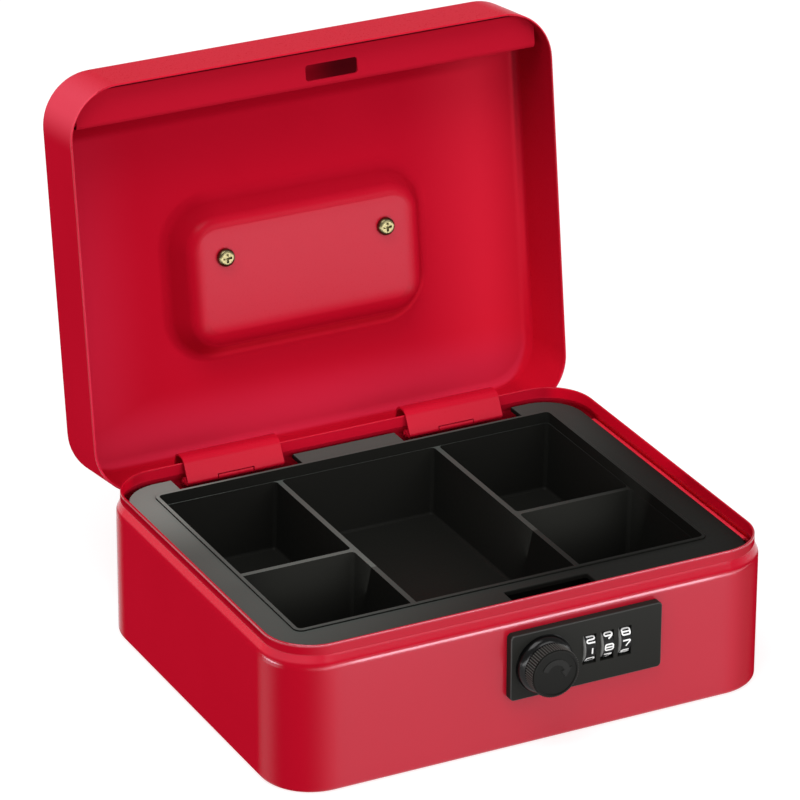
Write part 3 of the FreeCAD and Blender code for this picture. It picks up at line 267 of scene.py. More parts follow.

# Strike strip, with painted shade in its channel and groove and on the panel round it
STRIP_RED = (0.430, 0.0065, 0.0215)
CHANNEL_SHADE_RED = (0.030, 0.002, 0.003)
CHANNEL_FLOOR = 60.4 * MM
CHANNEL_REAR = -63.3 * MM
CHANNEL_EDGE = 0.4 * MM
GROOVE_REAR = -76.75 * MM
UNDER_STRIP_FRONT = -62.0 * MM
UNDER_STRIP_REAR = -54.0 * MM
UNDER_STRIP_FADE = 3.5 * MM
HOLLOW_SHADE_RED = (0.060, 0.0030, 0.0060)
HOLLOW_LEFT = 6.0 * MM
HOLLOW_RIGHT = 35.0 * MM
HOLLOW_REAR = -56.8 * MM
HOLLOW_FADE = 1.0 * MM
HOLLOW_SHADE_START = 8.0 * MM
HOLLOW_SHADE_FULL = 24.0 * MM
HOLLOW_LIGHT_SHARE = 0.40
HOLLOW_DARK_SHARE = 0.89

# Coin tray of black plastic, with painted light on top of the flange, fading to the right and strongest at the
# rear left
POCKET_BLACK = (0.009, 0.009, 0.008)
FLANGE_LIT_GREY = (0.074, 0.080, 0.074)
REAR_FLANGE_LIT_GREY = (0.185, 0.200, 0.185)
TRAY_ROUGH = (0.34, 0.42)
TRAY_GRAIN = 700.0
TRAY_RELIEF = 0.004 * MM
TRAY_SHEEN = 0.02
UPRIGHT_START = 0.6
UPRIGHT_FULL = 0.95
FLANGE_LOW = 36.0 * MM
FLANGE_HIGH = 42.0 * MM
FLANGE_LIGHT = -60.0 * MM
FLANGE_DARK = 100.0 * MM
FLANGE_DARK_SHARE = 0.05
FLANGE_REAR_START = 10.0 * MM
FLANGE_REAR_FULL = 60.0 * MM
FLANGE_LEFT_FULL = -75.0 * MM
FLANGE_LEFT_END = -35.0 * MM

# Lock plate and its collar
PLATE_DEEP = (0.012, 0.012, 0.0105)
PLATE_WARM = (0.015, 0.015, 0.013)
PLATE_GRAIN = 3500.0
PLATE_RELIEF = 0.006 * MM
PLATE_ROUGH = 0.46
PLATE_SHEEN = 0.08
PLATE_EDGE_SHEEN = 0.4
PLATE_EDGE_LOW = 0.35
PLATE_EDGE_HIGH = 0.90
PLATE_EDGE_FADE = 0.08
COLLAR_BLACK = (0.002, 0.002, 0.002)
COLLAR_EDGE = 11.3 * MM
COLLAR_SHEEN = 0.24
COLLAR_ROUGH = 0.20
RIM_FADE = 0.3 * MM

# Knob with its ribbed edge
KNOB_DEEP = (0.006, 0.006, 0.005)
KNOB_WARM = (0.008, 0.008, 0.007)
KNOB_ROUGH = (0.34, 0.42)
KNOB_GRAIN = 3500.0
KNOB_RELIEF = 0.004 * MM
KNOB_SHEEN = 0.09
# Painted highlight: a lighter grey on the ribs
RIB_HIGHLIGHT_GREY = (0.080, 0.080, 0.075)
RIB_START = 9.25 * MM
RIB_SHEEN = 0.05

# Turn arrow on the knob
ARROW_DEEP = (0.009, 0.009, 0.008)
ARROW_WARM = (0.011, 0.011, 0.010)
ARROW_ROUGH = (0.28, 0.34)
ARROW_SHEEN = 0.16
ARROW_RADIUS = 4.5 * MM
ARROW_WIDTH = 2.2 * MM
ARROW_START = math.radians(160.0)
ARROW_NECK = math.radians(15.0)
ARROW_TIP = math.radians(-28.0)
ARROW_HEAD_WIDTH = 4.4 * MM
ARROW_STEPS = 24
ARROW_FLOOR = 0.25 * MM
ARROW_HEIGHT = 0.22 * MM

# Number drums
DIAL_COUNT = 3
DIAL_DEEP = (0.005, 0.005, 0.005)
DIAL_WARM = (0.008, 0.008, 0.008)
DIAL_ROUGH = (0.35, 0.45)
DIAL_GRAIN = 2500.0
DIAL_RELIEF = 0.004 * MM
DIAL_SHEEN = 0.08
# Painted highlight: a lighter grey on the left rim of each drum
DIAL_RIM_HIGHLIGHT_GREY = (0.16, 0.16, 0.155)
DIAL_RIM_WIDTH = 0.9 * MM
DIAL_RIM_FADE = 0.2 * MM

# Digits on the drums
DIGIT_DEEP = (0.84, 0.84, 0.83)
DIGIT_PALE = (0.90, 0.90, 0.89)
DIGIT_ROUGH = (0.40, 0.50)
DIGIT_GRAIN = 4000.0
DIGIT_RELIEF = 0.002 * MM
DIGIT_COUNT = 10
DIGIT_STEP = 2 * math.pi / DIGIT_COUNT
DIGIT_TURN = math.radians(-4.5)
DIGIT_WIDTH = 3.75 * MM
DIGIT_HEIGHT = 2.9 * MM
DIGIT_STROKE = 0.57 * MM
DIGIT_CORNER = 0.75 * MM
DIGIT_SHIFT = 0.5 * MM
DIGIT_THICK = 0.12 * MM
DIGIT_PROUD = 0.04 * MM
DIALS_SHOWN = (1, 8, 7)
BEND_STEPS = 5

# Points of a digit, from -1 to 1 both ways
TOP_LEFT = (-1, 1)
TOP_RIGHT = (1, 1)
MID_LEFT = (-1, 0)
MID_RIGHT = (1, 0)
LOW_LEFT = (-1, -1)
LOW_RIGHT = (1, -1)
LOW_MIDDLE = (0, -1)
ONE_TOP = (0.2, 1)
ONE_FOOT = (0.2, -1)
THREE_BAR = (-0.4, 0)
FOUR_TOP = (0.5, 1)
FOUR_FOOT = (0.5, -1)
SIX_END = (0.8, 1)
SEVEN_FOOT = (-0.2, -1)
NINE_FOOT = (-0.1, -1)

# Lock case
CASE_DEEP = (0.018, 0.018, 0.017)
CASE_WARM = (0.024, 0.024, 0.022)
CASE_ROUGH = (0.50, 0.60)
CASE_GRAIN = 2500.0
CASE_RELIEF = 0.010 * MM

# Bright zinc of the lock's steel pieces
ZINC_DEEP = (0.52, 0.53, 0.55)
ZINC_PALE = (0.60, 0.61, 0.62)
ZINC_ROUGH = (0.26, 0.36)
ZINC_GRAIN = 1200.0
ZINC_RELIEF = 0.006 * MM

# Yellow zinc of the screws
YELLOW_DEEP = (0.10, 0.088, 0.044)
YELLOW_PALE = (0.15, 0.130, 0.068)
YELLOW_ROUGH = (0.24, 0.36)
YELLOW_GRAIN = 1800.0
YELLOW_RELIEF = 0.006 * MM

# Brass of the code rings
BRASS_DEEP = (0.60, 0.42, 0.16)
BRASS_PALE = (0.68, 0.50, 0.22)
BRASS_ROUGH = (0.22, 0.32)
BRASS_GRAIN = 1500.0
BRASS_RELIEF = 0.006 * MM

# Nickel of the handle and its brackets
NICKEL_DEEP = (0.62, 0.61, 0.58)
NICKEL_PALE = (0.70, 0.69, 0.66)
NICKEL_ROUGH = (0.12, 0.20)
NICKEL_GRAIN = 900.0
NICKEL_RELIEF = 0.004 * MM

# Which finish each material slot has, and the nodes with a finish of their own
FINISH_OF_SLOT = {
    "tray_plastic": "tray_black",
    "plate_black": "plate_black",
    "knob_black": "knob_black",
    "dial_black": "dial_black",
    "case_black": "case_black",
    "ring_brass": "brass",
    "zinc_steel": "zinc",
    "yellow_zinc": "yellow_zinc",
    "handle_chrome": "nickel",
}
FINISH_OF_NODE = {
    "body_shell": "body_red",
    "lid_shell": "lid_red",
    "strike_strip": "strip_red",
    "tray_ledge_left": "ledge_lit_red",
    "tray_ledge_right": "ledge_lit_red",
}


# Node helpers
def new_material(name):
    """An empty material made of nodes."""
    material = bpy.data.materials.new(name)
    material.use_nodes = True
    return material


def main_shader(material):
    """The shader that gives a material its look."""
    return material.node_tree.nodes["Principled BSDF"]


def feed(tree, shader, name, value):
    """Lets a value drive one input of the shader."""
    tree.links.new(value, shader.inputs[name])


def base_colour(shader):
    """What feeds the shader's colour so far."""
    return shader.inputs["Base Color"].links[0].from_socket


def object_place(tree):
    """The point on the piece, in metres, in the piece's own frame."""
    return tree.nodes.new("ShaderNodeTexCoord").outputs["Object"]


def object_normal(tree):
    """The direction that the surface faces, in the piece's own frame."""
    return tree.nodes.new("ShaderNodeTexCoord").outputs["Normal"]


def noise(tree, scale, detail=DRIFT_DETAIL):
    """Smooth random values from 0 to 1, with scale in waves per metre."""
    texture = tree.nodes.new("ShaderNodeTexNoise")
    texture.inputs["Scale"].default_value = scale
    texture.inputs["Detail"].default_value = detail
    tree.links.new(object_place(tree), texture.inputs["Vector"])
    return texture.outputs["Fac"]


def remap(tree, value, low, high, to_low, to_high):
    """A value moved smoothly from one range to another and held there."""
    node = tree.nodes.new("ShaderNodeMapRange")
    node.interpolation_type = "SMOOTHSTEP"
    node.inputs["From Min"].default_value = low
    node.inputs["From Max"].default_value = high
    node.inputs["To Min"].default_value = to_low
    node.inputs["To Max"].default_value = to_high
    tree.links.new(value, node.inputs["Value"])
    return node.outputs["Result"]


def rise(tree, value, low, high):
    """0 up to low, 1 from high on, and smooth between them."""
    return remap(tree, value, low, high, 0.0, 1.0)


def fall(tree, value, low, high):
    """1 up to low, 0 from high on, and smooth between them."""
    return remap(tree, value, low, high, 1.0, 0.0)


def calculate(tree, operation, first, second=None):
    """One sum on a value; the second term is a number or another value."""
    node = tree.nodes.new("ShaderNodeMath")
    node.operation = operation
    tree.links.new(first, node.inputs[0])
    if isinstance(second, float):
        node.inputs[1].default_value = second
    elif second is not None:
        tree.links.new(second, node.inputs[1])
    return node.outputs["Value"]


def times(tree, first, second):
    """A value times a number or another value."""
    return calculate(tree, "MULTIPLY", first, second)


def minus(tree, first, second):
    """A value less a number or another value."""
    return calculate(tree, "SUBTRACT", first, second)


def larger(tree, first, second):
    """The larger of two values."""
    return calculate(tree, "MAXIMUM", first, second)


def smaller(tree, first, second):
    """The smaller of two values."""
    return calculate(tree, "MINIMUM", first, second)


def squared(tree, value):
    """A value times itself; on a share it softens the foot of a fade."""
    return times(tree, value, value)


def slant(tree, first, second):
    """How far two distances at right angles reach together."""
    total = calculate(tree, "ADD", squared(tree, first), squared(tree, second))
    return calculate(tree, "SQRT", total)


def distance(tree, value, centre):
    """How far a value is from a number, either way."""
    return calculate(tree, "ABSOLUTE", minus(tree, value, centre))


def between(tree, value, low, high, fade):
    """1 from low to high, falling to 0 over the fade outside them."""
    return times(tree, rise(tree, value, low - fade, low), fall(tree, value, high, high + fade))


def split(tree, vector):
    """The three parts of a vector."""
    node = tree.nodes.new("ShaderNodeSeparateXYZ")
    tree.links.new(vector, node.inputs["Vector"])
    return node.outputs["X"], node.outputs["Y"], node.outputs["Z"]


def two_colours(tree, value, first, second, low=DRIFT_LOW, high=DRIFT_HIGH):
    """An even change from one colour to another as value goes from low to high."""
    ramp = tree.nodes.new("ShaderNodeValToRGB")
    ramp.color_ramp.elements[0].position = low
    ramp.color_ramp.elements[0].color = (*first, 1.0)
    ramp.color_ramp.elements[1].position = high
    ramp.color_ramp.elements[1].color = (*second, 1.0)
    tree.links.new(value, ramp.inputs["Fac"])
    return ramp.outputs["Color"]


def blend_to(tree, share, first, second):
    """A colour that goes over to a fixed second colour where the share is 1."""
    node = tree.nodes.new("ShaderNodeMix")
    node.data_type = "RGBA"
    tree.links.new(share, node.inputs["Factor"])
    tree.links.new(first, node.inputs["A"])
    node.inputs["B"].default_value = (*second, 1.0)
    return node.outputs["Result"]


def add_bump(tree, shader, value, unit):
    """Relief in the given unit of height in metres, on top of any relief already there."""
    bump = tree.nodes.new("ShaderNodeBump")
    bump.inputs["Distance"].default_value = unit
    tree.links.new(value, bump.inputs["Height"])
    for link in shader.inputs["Normal"].links:
        tree.links.new(link.from_socket, bump.inputs["Normal"])
    tree.links.new(bump.outputs["Normal"], shader.inputs["Normal"])


def facing_out(tree, axis):
    """Above 0 where a wall across one axis faces out, and below 0 where it faces in."""
    place = split(tree, object_place(tree))[axis]
    return times(tree, place, split(tree, object_normal(tree))[axis])


# Finishes
def surface(name, first, second, rough, grain, relief, specular=PLAIN_SPECULAR, metallic=0.0):
    """A finish whose colour drifts slowly and whose skin has a fine grain."""
    material = new_material(name)
    tree = material.node_tree
    shader = main_shader(material)
    fine = noise(tree, grain, GRAIN_DETAIL)
    feed(tree, shader, "Base Color", two_colours(tree, noise(tree, DRIFT_SCALE), first, second))
    feed(tree, shader, "Roughness", remap(tree, fine, DRIFT_LOW, DRIFT_HIGH, *rough))
    add_bump(tree, shader, fine, relief)
    shader.inputs["Specular IOR Level"].default_value = specular
    shader.inputs["Metallic"].default_value = metallic
    return material


def metal(name, first, second, rough, grain, relief):
    """A plated or bare metal."""
    return surface(name, first, second, rough, grain, relief, metallic=1.0)


def paint(name, specular):
    """Satin red paint."""
    material = surface(name, RED_DEEP, RED_WARM, PAINT_ROUGH, PAINT_GRAIN, PAINT_RELIEF, specular)
    main_shader(material).inputs["Specular Tint"].default_value = GLOSS_TINT
    return material


# Paint of the box
def corner_angle(tree, x, ahead):
    """Degrees round a corner: below 0 along the front or rear, above 90 along a side."""
    across = minus(tree, calculate(tree, "ABSOLUTE", x), CORNER_X)
    return calculate(tree, "DEGREES", calculate(tree, "ARCTAN2", across, minus(tree, ahead, CORNER_Y)))


def wall_sheen(tree, angle, height):
    """Gloss of the upright walls: most on the front, and a soft band at each corner."""
    front = squared(tree, fall(tree, angle, FRONT_SHEEN_FULL, FRONT_SHEEN_END))
    off_band = distance(tree, angle, BAND_ANGLE)
    band = squared(tree, fall(tree, off_band, 0.0, BAND_HALF_WIDTH))
    wall = larger(tree, times(tree, front, FRONT_SHEEN), times(tree, band, BAND_SHEEN))
    return times(tree, wall, fall(tree, height, SLOPE_HEIGHT - BEND_FADE, SLOPE_HEIGHT))


def bend_share(tree, angle, height):
    """Where the shoulder's bend shines: along the front and on a spot at each corner."""
    off_spot = distance(tree, angle, BEND_SPOT_ANGLE)
    spot = fall(tree, off_spot, BEND_SPOT_FULL, BEND_SPOT_END)
    front = fall(tree, angle, BEND_FRONT_FULL, BEND_FRONT_END)
    along = larger(tree, front, squared(tree, spot))
    off_bend = distance(tree, height, BEND_HEIGHT)
    return times(tree, along, fall(tree, off_bend, BEND_REACH - BEND_FADE, BEND_REACH))


def slope_sheen(tree, angle, height):
    """Gloss of the shoulder's slope, most of it at the corners."""
    front = remap(tree, angle, SLOPE_CORNER_START, SLOPE_CORNER_FULL, SLOPE_SHEEN, SLOPE_CORNER_SHEEN)
    side = remap(tree, angle, SLOPE_SIDE_START, SLOPE_SIDE_FULL, SLOPE_CORNER_SHEEN, SLOPE_SIDE_SHEEN)
    slope = between(tree, height, SLOPE_LOW, SLOPE_TOP, SLOPE_FADE)
    return times(tree, slope, smaller(tree, front, side))


def lip_sheen(tree, angle, height):
    """Gloss of the lip's outer face along the front."""
    lip = between(tree, height, SLOPE_TOP, LIP_SHADE_TOP, SLOPE_FADE)
    along = remap(tree, angle, LIP_SHEEN_FULL, LIP_SHEEN_END, LIP_SHEEN, 0.0)
    outer = rise(tree, facing_out(tree, Y), 0.0, OUTWARD)
    return times(tree, times(tree, lip, along), outer)


def crown_sheen(tree, y, height):
    """Gloss of the lip's rounded top, which fades towards the rear."""
    crown = rise(tree, height, CROWN_HEIGHT - BEND_FADE, CROWN_HEIGHT)
    return times(tree, crown, remap(tree, y, CROWN_FRONT, CROWN_REAR, CROWN_SHEEN, CROWN_REAR_SHEEN))


def body_sheen(tree, angle, y, height):
    """Gloss of the whole box: its walls, the shoulder with its bend and the lip."""
    slope = larger(tree, slope_sheen(tree, angle, height), lip_sheen(tree, angle, height))
    bend = times(tree, bend_share(tree, angle, height), BEND_SHEEN)
    shoulder = larger(tree, larger(tree, slope, crown_sheen(tree, y, height)), bend)
    return larger(tree, wall_sheen(tree, angle, height), shoulder)


def paint_slope_light(tree, colour, angle, height):
    """Painted light on the shoulder's slope, lightest at the sides."""
    slope = between(tree, height, SLOPE_LOW, SLOPE_TOP, SLOPE_FADE)
    corner = rise(tree, angle, SLOPE_LIGHT_START, SLOPE_LIGHT_FULL)
    colour = blend_to(tree, times(tree, slope, corner), colour, SLOPE_LIT_RED)
    side = rise(tree, angle, SLOPE_SIDE_START, SLOPE_SIDE_FULL)
    return blend_to(tree, times(tree, slope, side), colour, SLOPE_SIDE_LIT_RED)


def shade_and_light_lip(tree, colour, angle, height):
    """Painted shade under the lip's rounded top at the sides, painted light on the inner sides."""
    side = rise(tree, angle, LIP_SHADE_START, LIP_SHADE_FULL)
    lip = rise(tree, height, SLOPE_TOP, LIP_SHADE_TOP)
    lip = times(tree, lip, fall(tree, height, LIP_SHADE_TOP, CROWN_HEIGHT))
    colour = blend_to(tree, times(tree, lip, side), colour, LIP_SHADE_RED)
    inner = fall(tree, facing_out(tree, X), INWARD_FULL, INWARD_END)
    raised = rise(tree, height, BEND_HEIGHT, SLOPE_HEIGHT)
    return blend_to(tree, times(tree, inner, raised), colour, LIP_INNER_LIT_RED)


def body_colour(tree, colour, angle, height):
    """The reds of the box, with painted shade at the corners, painted light on the shoulder's slope and painted
    shade and painted light on the lip.
    """
    corner = between(tree, angle, CORNER_SHADE_LOW, CORNER_SHADE_HIGH, CORNER_SHADE_FADE)
    colour = blend_to(tree, corner, colour, CORNER_SHADE_RED)
    colour = paint_slope_light(tree, colour, angle, height)
    return shade_and_light_lip(tree, colour, angle, height)


def make_body_red():
    """Paint with the most sheen on the front and shoulder, and a softened bend."""
    material = paint("body_red", FRONT_SHEEN)
    tree = material.node_tree
    shader = main_shader(material)
    x, y, height = split(tree, object_place(tree))
    angle = corner_angle(tree, x, calculate(tree, "ABSOLUTE", y))
    feed(tree, shader, "Specular IOR Level", body_sheen(tree, angle, y, height))
    rough = remap(tree, bend_share(tree, angle, height), 0.0, 1.0, BODY_ROUGH, BEND_ROUGH)
    feed(tree, shader, "Roughness", rough)
    feed(tree, shader, "Base Color", body_colour(tree, base_colour(shader), angle, height))
    drop = remap(tree, height, SOFT_BEND_LOW, SOFT_BEND_HIGH, 0.0, -SOFT_BEND_DROP)
    add_bump(tree, shader, drop, METRE)
    return material


# Paint of the lid
def closed_lid_place(tree):
    """The point on the lid, in metres, as if the lid were shut."""
    turn = Matrix.Rotation(LID_OPEN_ANGLE, 3, "X")
    mapping = tree.nodes.new("ShaderNodeMapping")
    mapping.inputs["Rotation"].default_value = (LID_OPEN_ANGLE, 0.0, 0.0)
    mapping.inputs["Location"].default_value = HINGE_POINT - turn @ HINGE_POINT
    tree.links.new(object_place(tree), mapping.inputs["Vector"])
    return mapping.outputs["Vector"]


def within(tree, value, centre, half):
    """1 near the centre, falling to 0 at half over the plateau's soft edge."""
    return fall(tree, distance(tree, value, centre), half - PLATEAU_EDGE, half)


def plateau_share(tree, x, y, z):
    """1 on the flat middle of the handle dish, fading at its edges."""
    wide = within(tree, x, 0.0, PLATEAU_HALF_WIDTH)
    front = rise(tree, y, PLATEAU_FRONT, PLATEAU_FRONT_FULL)
    rear = fall(tree, y, PLATEAU_REAR_FULL, PLATEAU_REAR)
    level = within(tree, z, PLATEAU_HEIGHT, PLATEAU_REACH + PLATEAU_EDGE)
    return smaller(tree, smaller(tree, wide, smaller(tree, front, rear)), level)


def lid_side_share(tree):
    """1 on the outside of the lid's side walls and corners."""
    return rise(tree, facing_out(tree, X), 0.0, LID_CORNER_OUTWARD)


def lid_front_share(tree, y):
    """1 on the outside of the lid's front wall, fading round its corners."""
    wall = fall(tree, y, LID_FRONT - PANEL_FADE, LID_FRONT)
    corner = fall(tree, y, LID_FRONT, LID_FRONT_END)
    return larger(tree, wall, times(tree, corner, lid_side_share(tree)))


def lid_corner_share(tree, x, y):
    """1 on the outside of the lid's two front corners, fading along the walls."""
    angle = corner_angle(tree, x, times(tree, y, FORWARD))
    front = rise(tree, angle, LID_CORNER_START, LID_CORNER_FULL)
    side = fall(tree, angle, LID_CORNER_FALL, LID_CORNER_END)
    return times(tree, smaller(tree, front, side), lid_side_share(tree))


def lid_sheen(tree, x, y, z, facing):
    """Gloss of the lid: the dish's flat middle, the right end, the rim and the outside."""
    plateau = times(tree, plateau_share(tree, x, y, z), PLATEAU_SHEEN)
    right = times(tree, rise(tree, x, RIGHT_START, RIGHT_FULL), RIGHT_SHEEN)
    front = times(tree, lid_front_share(tree, y), LID_FRONT_SHEEN)
    rim = remap(tree, z, LID_RIM, LID_RIM + PANEL_FADE, LID_RIM_SHEEN, 0.0)
    outside = remap(tree, facing, FACING_START, FACING_FULL, 0.0, LID_OUTER_SHEEN)
    edge = larger(tree, larger(tree, front, rim), outside)
    return larger(tree, larger(tree, plateau, right), edge)


def pale_light_share(tree, x, y):
    """How far painted light pales the panel towards the hinge and the left."""
    rear = rise(tree, y, PALE_REAR_START, PALE_REAR_FULL)
    left = remap(tree, x, PALE_LEFT_FULL, PALE_LEFT_START, PALE_LEFT_SHARE, 0.0)
    back = remap(tree, y, PALE_FRONT_START, PALE_FRONT_END, PALE_FRONT_SHARE, 1.0)
    return larger(tree, rear, times(tree, left, back))


def under_strip_share(tree, x, y):
    """1 in the shade behind the strike strip, fading towards the right."""
    shade = between(tree, y, UNDER_STRIP_FRONT, UNDER_STRIP_REAR, UNDER_STRIP_FADE)
    return times(tree, shade, fall(tree, x, RIGHT_START, RIGHT_FULL))


def dish_distance(tree, x, y):
    """Distance out from the dish's rounded outline, below 0 within it."""
    across = minus(tree, distance(tree, x, 0.0), DISH_HALF_WIDTH - DISH_CORNER_R)
    along = minus(tree, distance(tree, y, DISH_CENTRE_Y), DISH_HALF_DEPTH - DISH_CORNER_R)
    reach = slant(tree, larger(tree, across, 0.0), larger(tree, along, 0.0))
    return minus(tree, reach, DISH_CORNER_R)


def shade_and_light_dish(tree, colour, x, y):
    """Painted shade on the dish's left and rear slopes, painted light along its rear crease."""
    out = dish_distance(tree, x, y)
    left = fall(tree, x, DISH_LEFT_FULL, DISH_LEFT_START)
    rear = rise(tree, y, DISH_REAR_START, DISH_REAR_FULL)
    left_slope = times(tree, left, between(tree, out, DISH_FOOT, DISH_LEFT_HIGH, DISH_FADE))
    rear_slope = between(tree, out, DISH_REAR_FOOT, DISH_REAR_HIGH, DISH_REAR_FADE)
    rear_slope = times(tree, rear, rear_slope)
    slope = larger(tree, times(tree, left_slope, DISH_LEFT_SHARE), rear_slope)
    colour = blend_to(tree, slope, colour, DISH_SHADE_RED)
    crease = times(tree, rear, between(tree, out, CREASE_LOW, CREASE_HIGH, DISH_REAR_FADE))
    along = remap(tree, x, DISH_LEFT_FULL, DISH_LEFT_START, 0.0, CREASE_SHARE)
    return blend_to(tree, times(tree, crease, along), colour, PANEL_LIT_RED)


def shade_and_light_inner_walls(tree, colour, y):
    """Painted shade on the inner side walls at the front and painted light at the rear."""
    wall = fall(tree, facing_out(tree, X), INWARD_FULL, INWARD_END)
    dark = fall(tree, y, WALL_DARK_FULL, WALL_DARK_END)
    light = rise(tree, y, WALL_LIGHT_START, WALL_LIGHT_FULL)
    colour = blend_to(tree, times(tree, wall, dark), colour, WALL_SHADE_RED)
    return blend_to(tree, times(tree, wall, light), colour, WALL_LIT_RED)


def shade_hollow(tree, colour, panel, x, y):
    """Painted shade on the panel behind the strike strip's slot."""
    ahead = fall(tree, y, HOLLOW_REAR, HOLLOW_REAR + HOLLOW_FADE)
    shade = remap(tree, x, HOLLOW_SHADE_START, HOLLOW_SHADE_FULL, HOLLOW_LIGHT_SHARE, HOLLOW_DARK_SHARE)
    hollow = times(tree, between(tree, x, HOLLOW_LEFT, HOLLOW_RIGHT, HOLLOW_FADE), shade)
    hollow = times(tree, hollow, ahead)
    return blend_to(tree, times(tree, panel, hollow), colour, HOLLOW_SHADE_RED)


def lid_colour(tree, colour, x, y, z, facing):
    """The reds of the lid, outside and inside, with painted light, painted highlights and painted shade."""
    inner = fall(tree, facing, -FACING_FULL, -FACING_START)
    panel = times(tree, inner, rise(tree, z, PANEL_LOW - PANEL_FADE, PANEL_LOW))
    right = rise(tree, x, RIGHT_START, RIGHT_FULL)
    colour = blend_to(tree, lid_front_share(tree, y), colour, LID_FRONT_LIT_RED)
    colour = blend_to(tree, lid_corner_share(tree, x, y), colour, LID_CORNER_HIGHLIGHT_RED)
    colour = blend_to(tree, times(tree, panel, right), colour, PANEL_LIT_RED)
    colour = blend_to(tree, times(tree, inner, pale_light_share(tree, x, y)), colour, PALE_LIT_RED)
    # Painted shadow on the panel under the strike strip
    colour = blend_to(tree, times(tree, panel, under_strip_share(tree, x, y)), colour, DISH_SHADE_RED)
    colour = shade_and_light_dish(tree, colour, x, y)
    colour = shade_and_light_inner_walls(tree, colour, y)
    return shade_hollow(tree, colour, panel, x, y)


def make_lid_red():
    """Matte paint, with a soft sheen on the flat middle of the handle dish and on the outside."""
    material = paint("lid_red", MATTE)
    tree = material.node_tree
    shader = main_shader(material)
    x, y, z = split(tree, closed_lid_place(tree))
    facing = split(tree, object_normal(tree))[Y]
    feed(tree, shader, "Specular IOR Level", lid_sheen(tree, x, y, z, facing))
    feed(tree, shader, "Base Color", lid_colour(tree, base_colour(shader), x, y, z, facing))
    return material


def make_strip_red():
    """Paint with painted shade inside the strip's channel behind the slot and in the groove along the front wall.
    """
    material = paint("strip_red", MATTE)
    tree = material.node_tree
    place = split(tree, closed_lid_place(tree))
    above = rise(tree, place[Z], CHANNEL_FLOOR, CHANNEL_FLOOR + CHANNEL_EDGE)
    ahead = fall(tree, place[Y], CHANNEL_REAR, CHANNEL_REAR + CHANNEL_EDGE)
    groove = fall(tree, place[Y], GROOVE_REAR, GROOVE_REAR + CHANNEL_EDGE)
    mask = larger(tree, smaller(tree, above, ahead), groove)
    colour = two_colours(tree, mask, STRIP_RED, CHANNEL_SHADE_RED, 0.0, 1.0)
    feed(tree, main_shader(material), "Base Color", colour)
    return material


def make_ledge_lit_red():
    """Red of the ledges that carry the tray, brightened as painted light and painted sheen."""
    return surface("ledge_lit_red", LEDGE_LIT_DEEP, LEDGE_LIT_WARM, PAINT_ROUGH, PAINT_GRAIN, PAINT_RELIEF, LEDGE_SHEEN)


# Plastic of the tray and the lock
def make_tray_black():
    """Moulded black plastic, with painted light on top of the flange, fading towards the right, most of all at its
    rear left.
    """
    tones = (POCKET_BLACK, FLANGE_LIT_GREY)
    material = surface("tray_black", *tones, TRAY_ROUGH, TRAY_GRAIN, TRAY_RELIEF, TRAY_SHEEN)
    tree = material.node_tree
    x, y, z = split(tree, object_place(tree))
    upright = split(tree, object_normal(tree))[Z]
    level = rise(tree, upright, UPRIGHT_START, UPRIGHT_FULL)
    top = times(tree, level, rise(tree, z, FLANGE_LOW, FLANGE_HIGH))
    light = remap(tree, minus(tree, x, y), FLANGE_LIGHT, FLANGE_DARK, 1.0, FLANGE_DARK_SHARE)
    colour = two_colours(tree, times(tree, top, light), *tones, 0.0, 1.0)
    rear = rise(tree, y, FLANGE_REAR_START, FLANGE_REAR_FULL)
    rear_left = times(tree, rear, fall(tree, x, FLANGE_LEFT_FULL, FLANGE_LEFT_END))
    colour = blend_to(tree, times(tree, top, rear_left), colour, REAR_FLANGE_LIT_GREY)
    feed(tree, main_shader(material), "Base Color", colour)
    return material


def knob_radius(tree):
    """Distance from the knob's axis, in metres."""
    axis = joints["knob_turn"]["pos_m"]
    place = split(tree, object_place(tree))
    return slant(tree, minus(tree, place[X], axis[X]), minus(tree, place[Z], axis[Z]))


def make_plate_black():
    """Matte black plastic with glossier edges and a glossy collar round the knob."""
    rough = (COLLAR_ROUGH, PLATE_ROUGH)
    material = surface("plate_black", PLATE_DEEP, PLATE_WARM, rough, PLATE_GRAIN, PLATE_RELIEF)
    tree = material.node_tree
    shader = main_shader(material)
    radius = knob_radius(tree)
    facing = distance(tree, split(tree, object_normal(tree))[Y], 0.0)
    edge = between(tree, facing, PLATE_EDGE_LOW, PLATE_EDGE_HIGH, PLATE_EDGE_FADE)
    edge = remap(tree, edge, 0.0, 1.0, PLATE_SHEEN, PLATE_EDGE_SHEEN)
    collar = fall(tree, radius, COLLAR_EDGE, COLLAR_EDGE + RIM_FADE)
    level = times(tree, edge, fall(tree, collar, 0.0, 1.0))
    level = calculate(tree, "ADD", level, times(tree, collar, COLLAR_SHEEN))
    feed(tree, shader, "Specular IOR Level", level)
    feed(tree, shader, "Roughness", remap(tree, radius, COLLAR_EDGE, COLLAR_EDGE + RIM_FADE, *rough))
    feed(tree, shader, "Base Color", blend_to(tree, collar, base_colour(shader), COLLAR_BLACK))
    return material


def make_knob_black():
    """Satin black plastic, with a painted highlight in greyer colour on the more matte ribs round the face."""
    material = surface("knob_black", KNOB_DEEP, KNOB_WARM, KNOB_ROUGH, KNOB_GRAIN, KNOB_RELIEF)
    tree = material.node_tree
    shader = main_shader(material)
    rib = rise(tree, knob_radius(tree), RIB_START, RIB_START + RIM_FADE)
    feed(tree, shader, "Specular IOR Level", remap(tree, rib, 0.0, 1.0, KNOB_SHEEN, RIB_SHEEN))
    feed(tree, shader, "Base Color", blend_to(tree, rib, base_colour(shader), RIB_HIGHLIGHT_GREY))
    return material


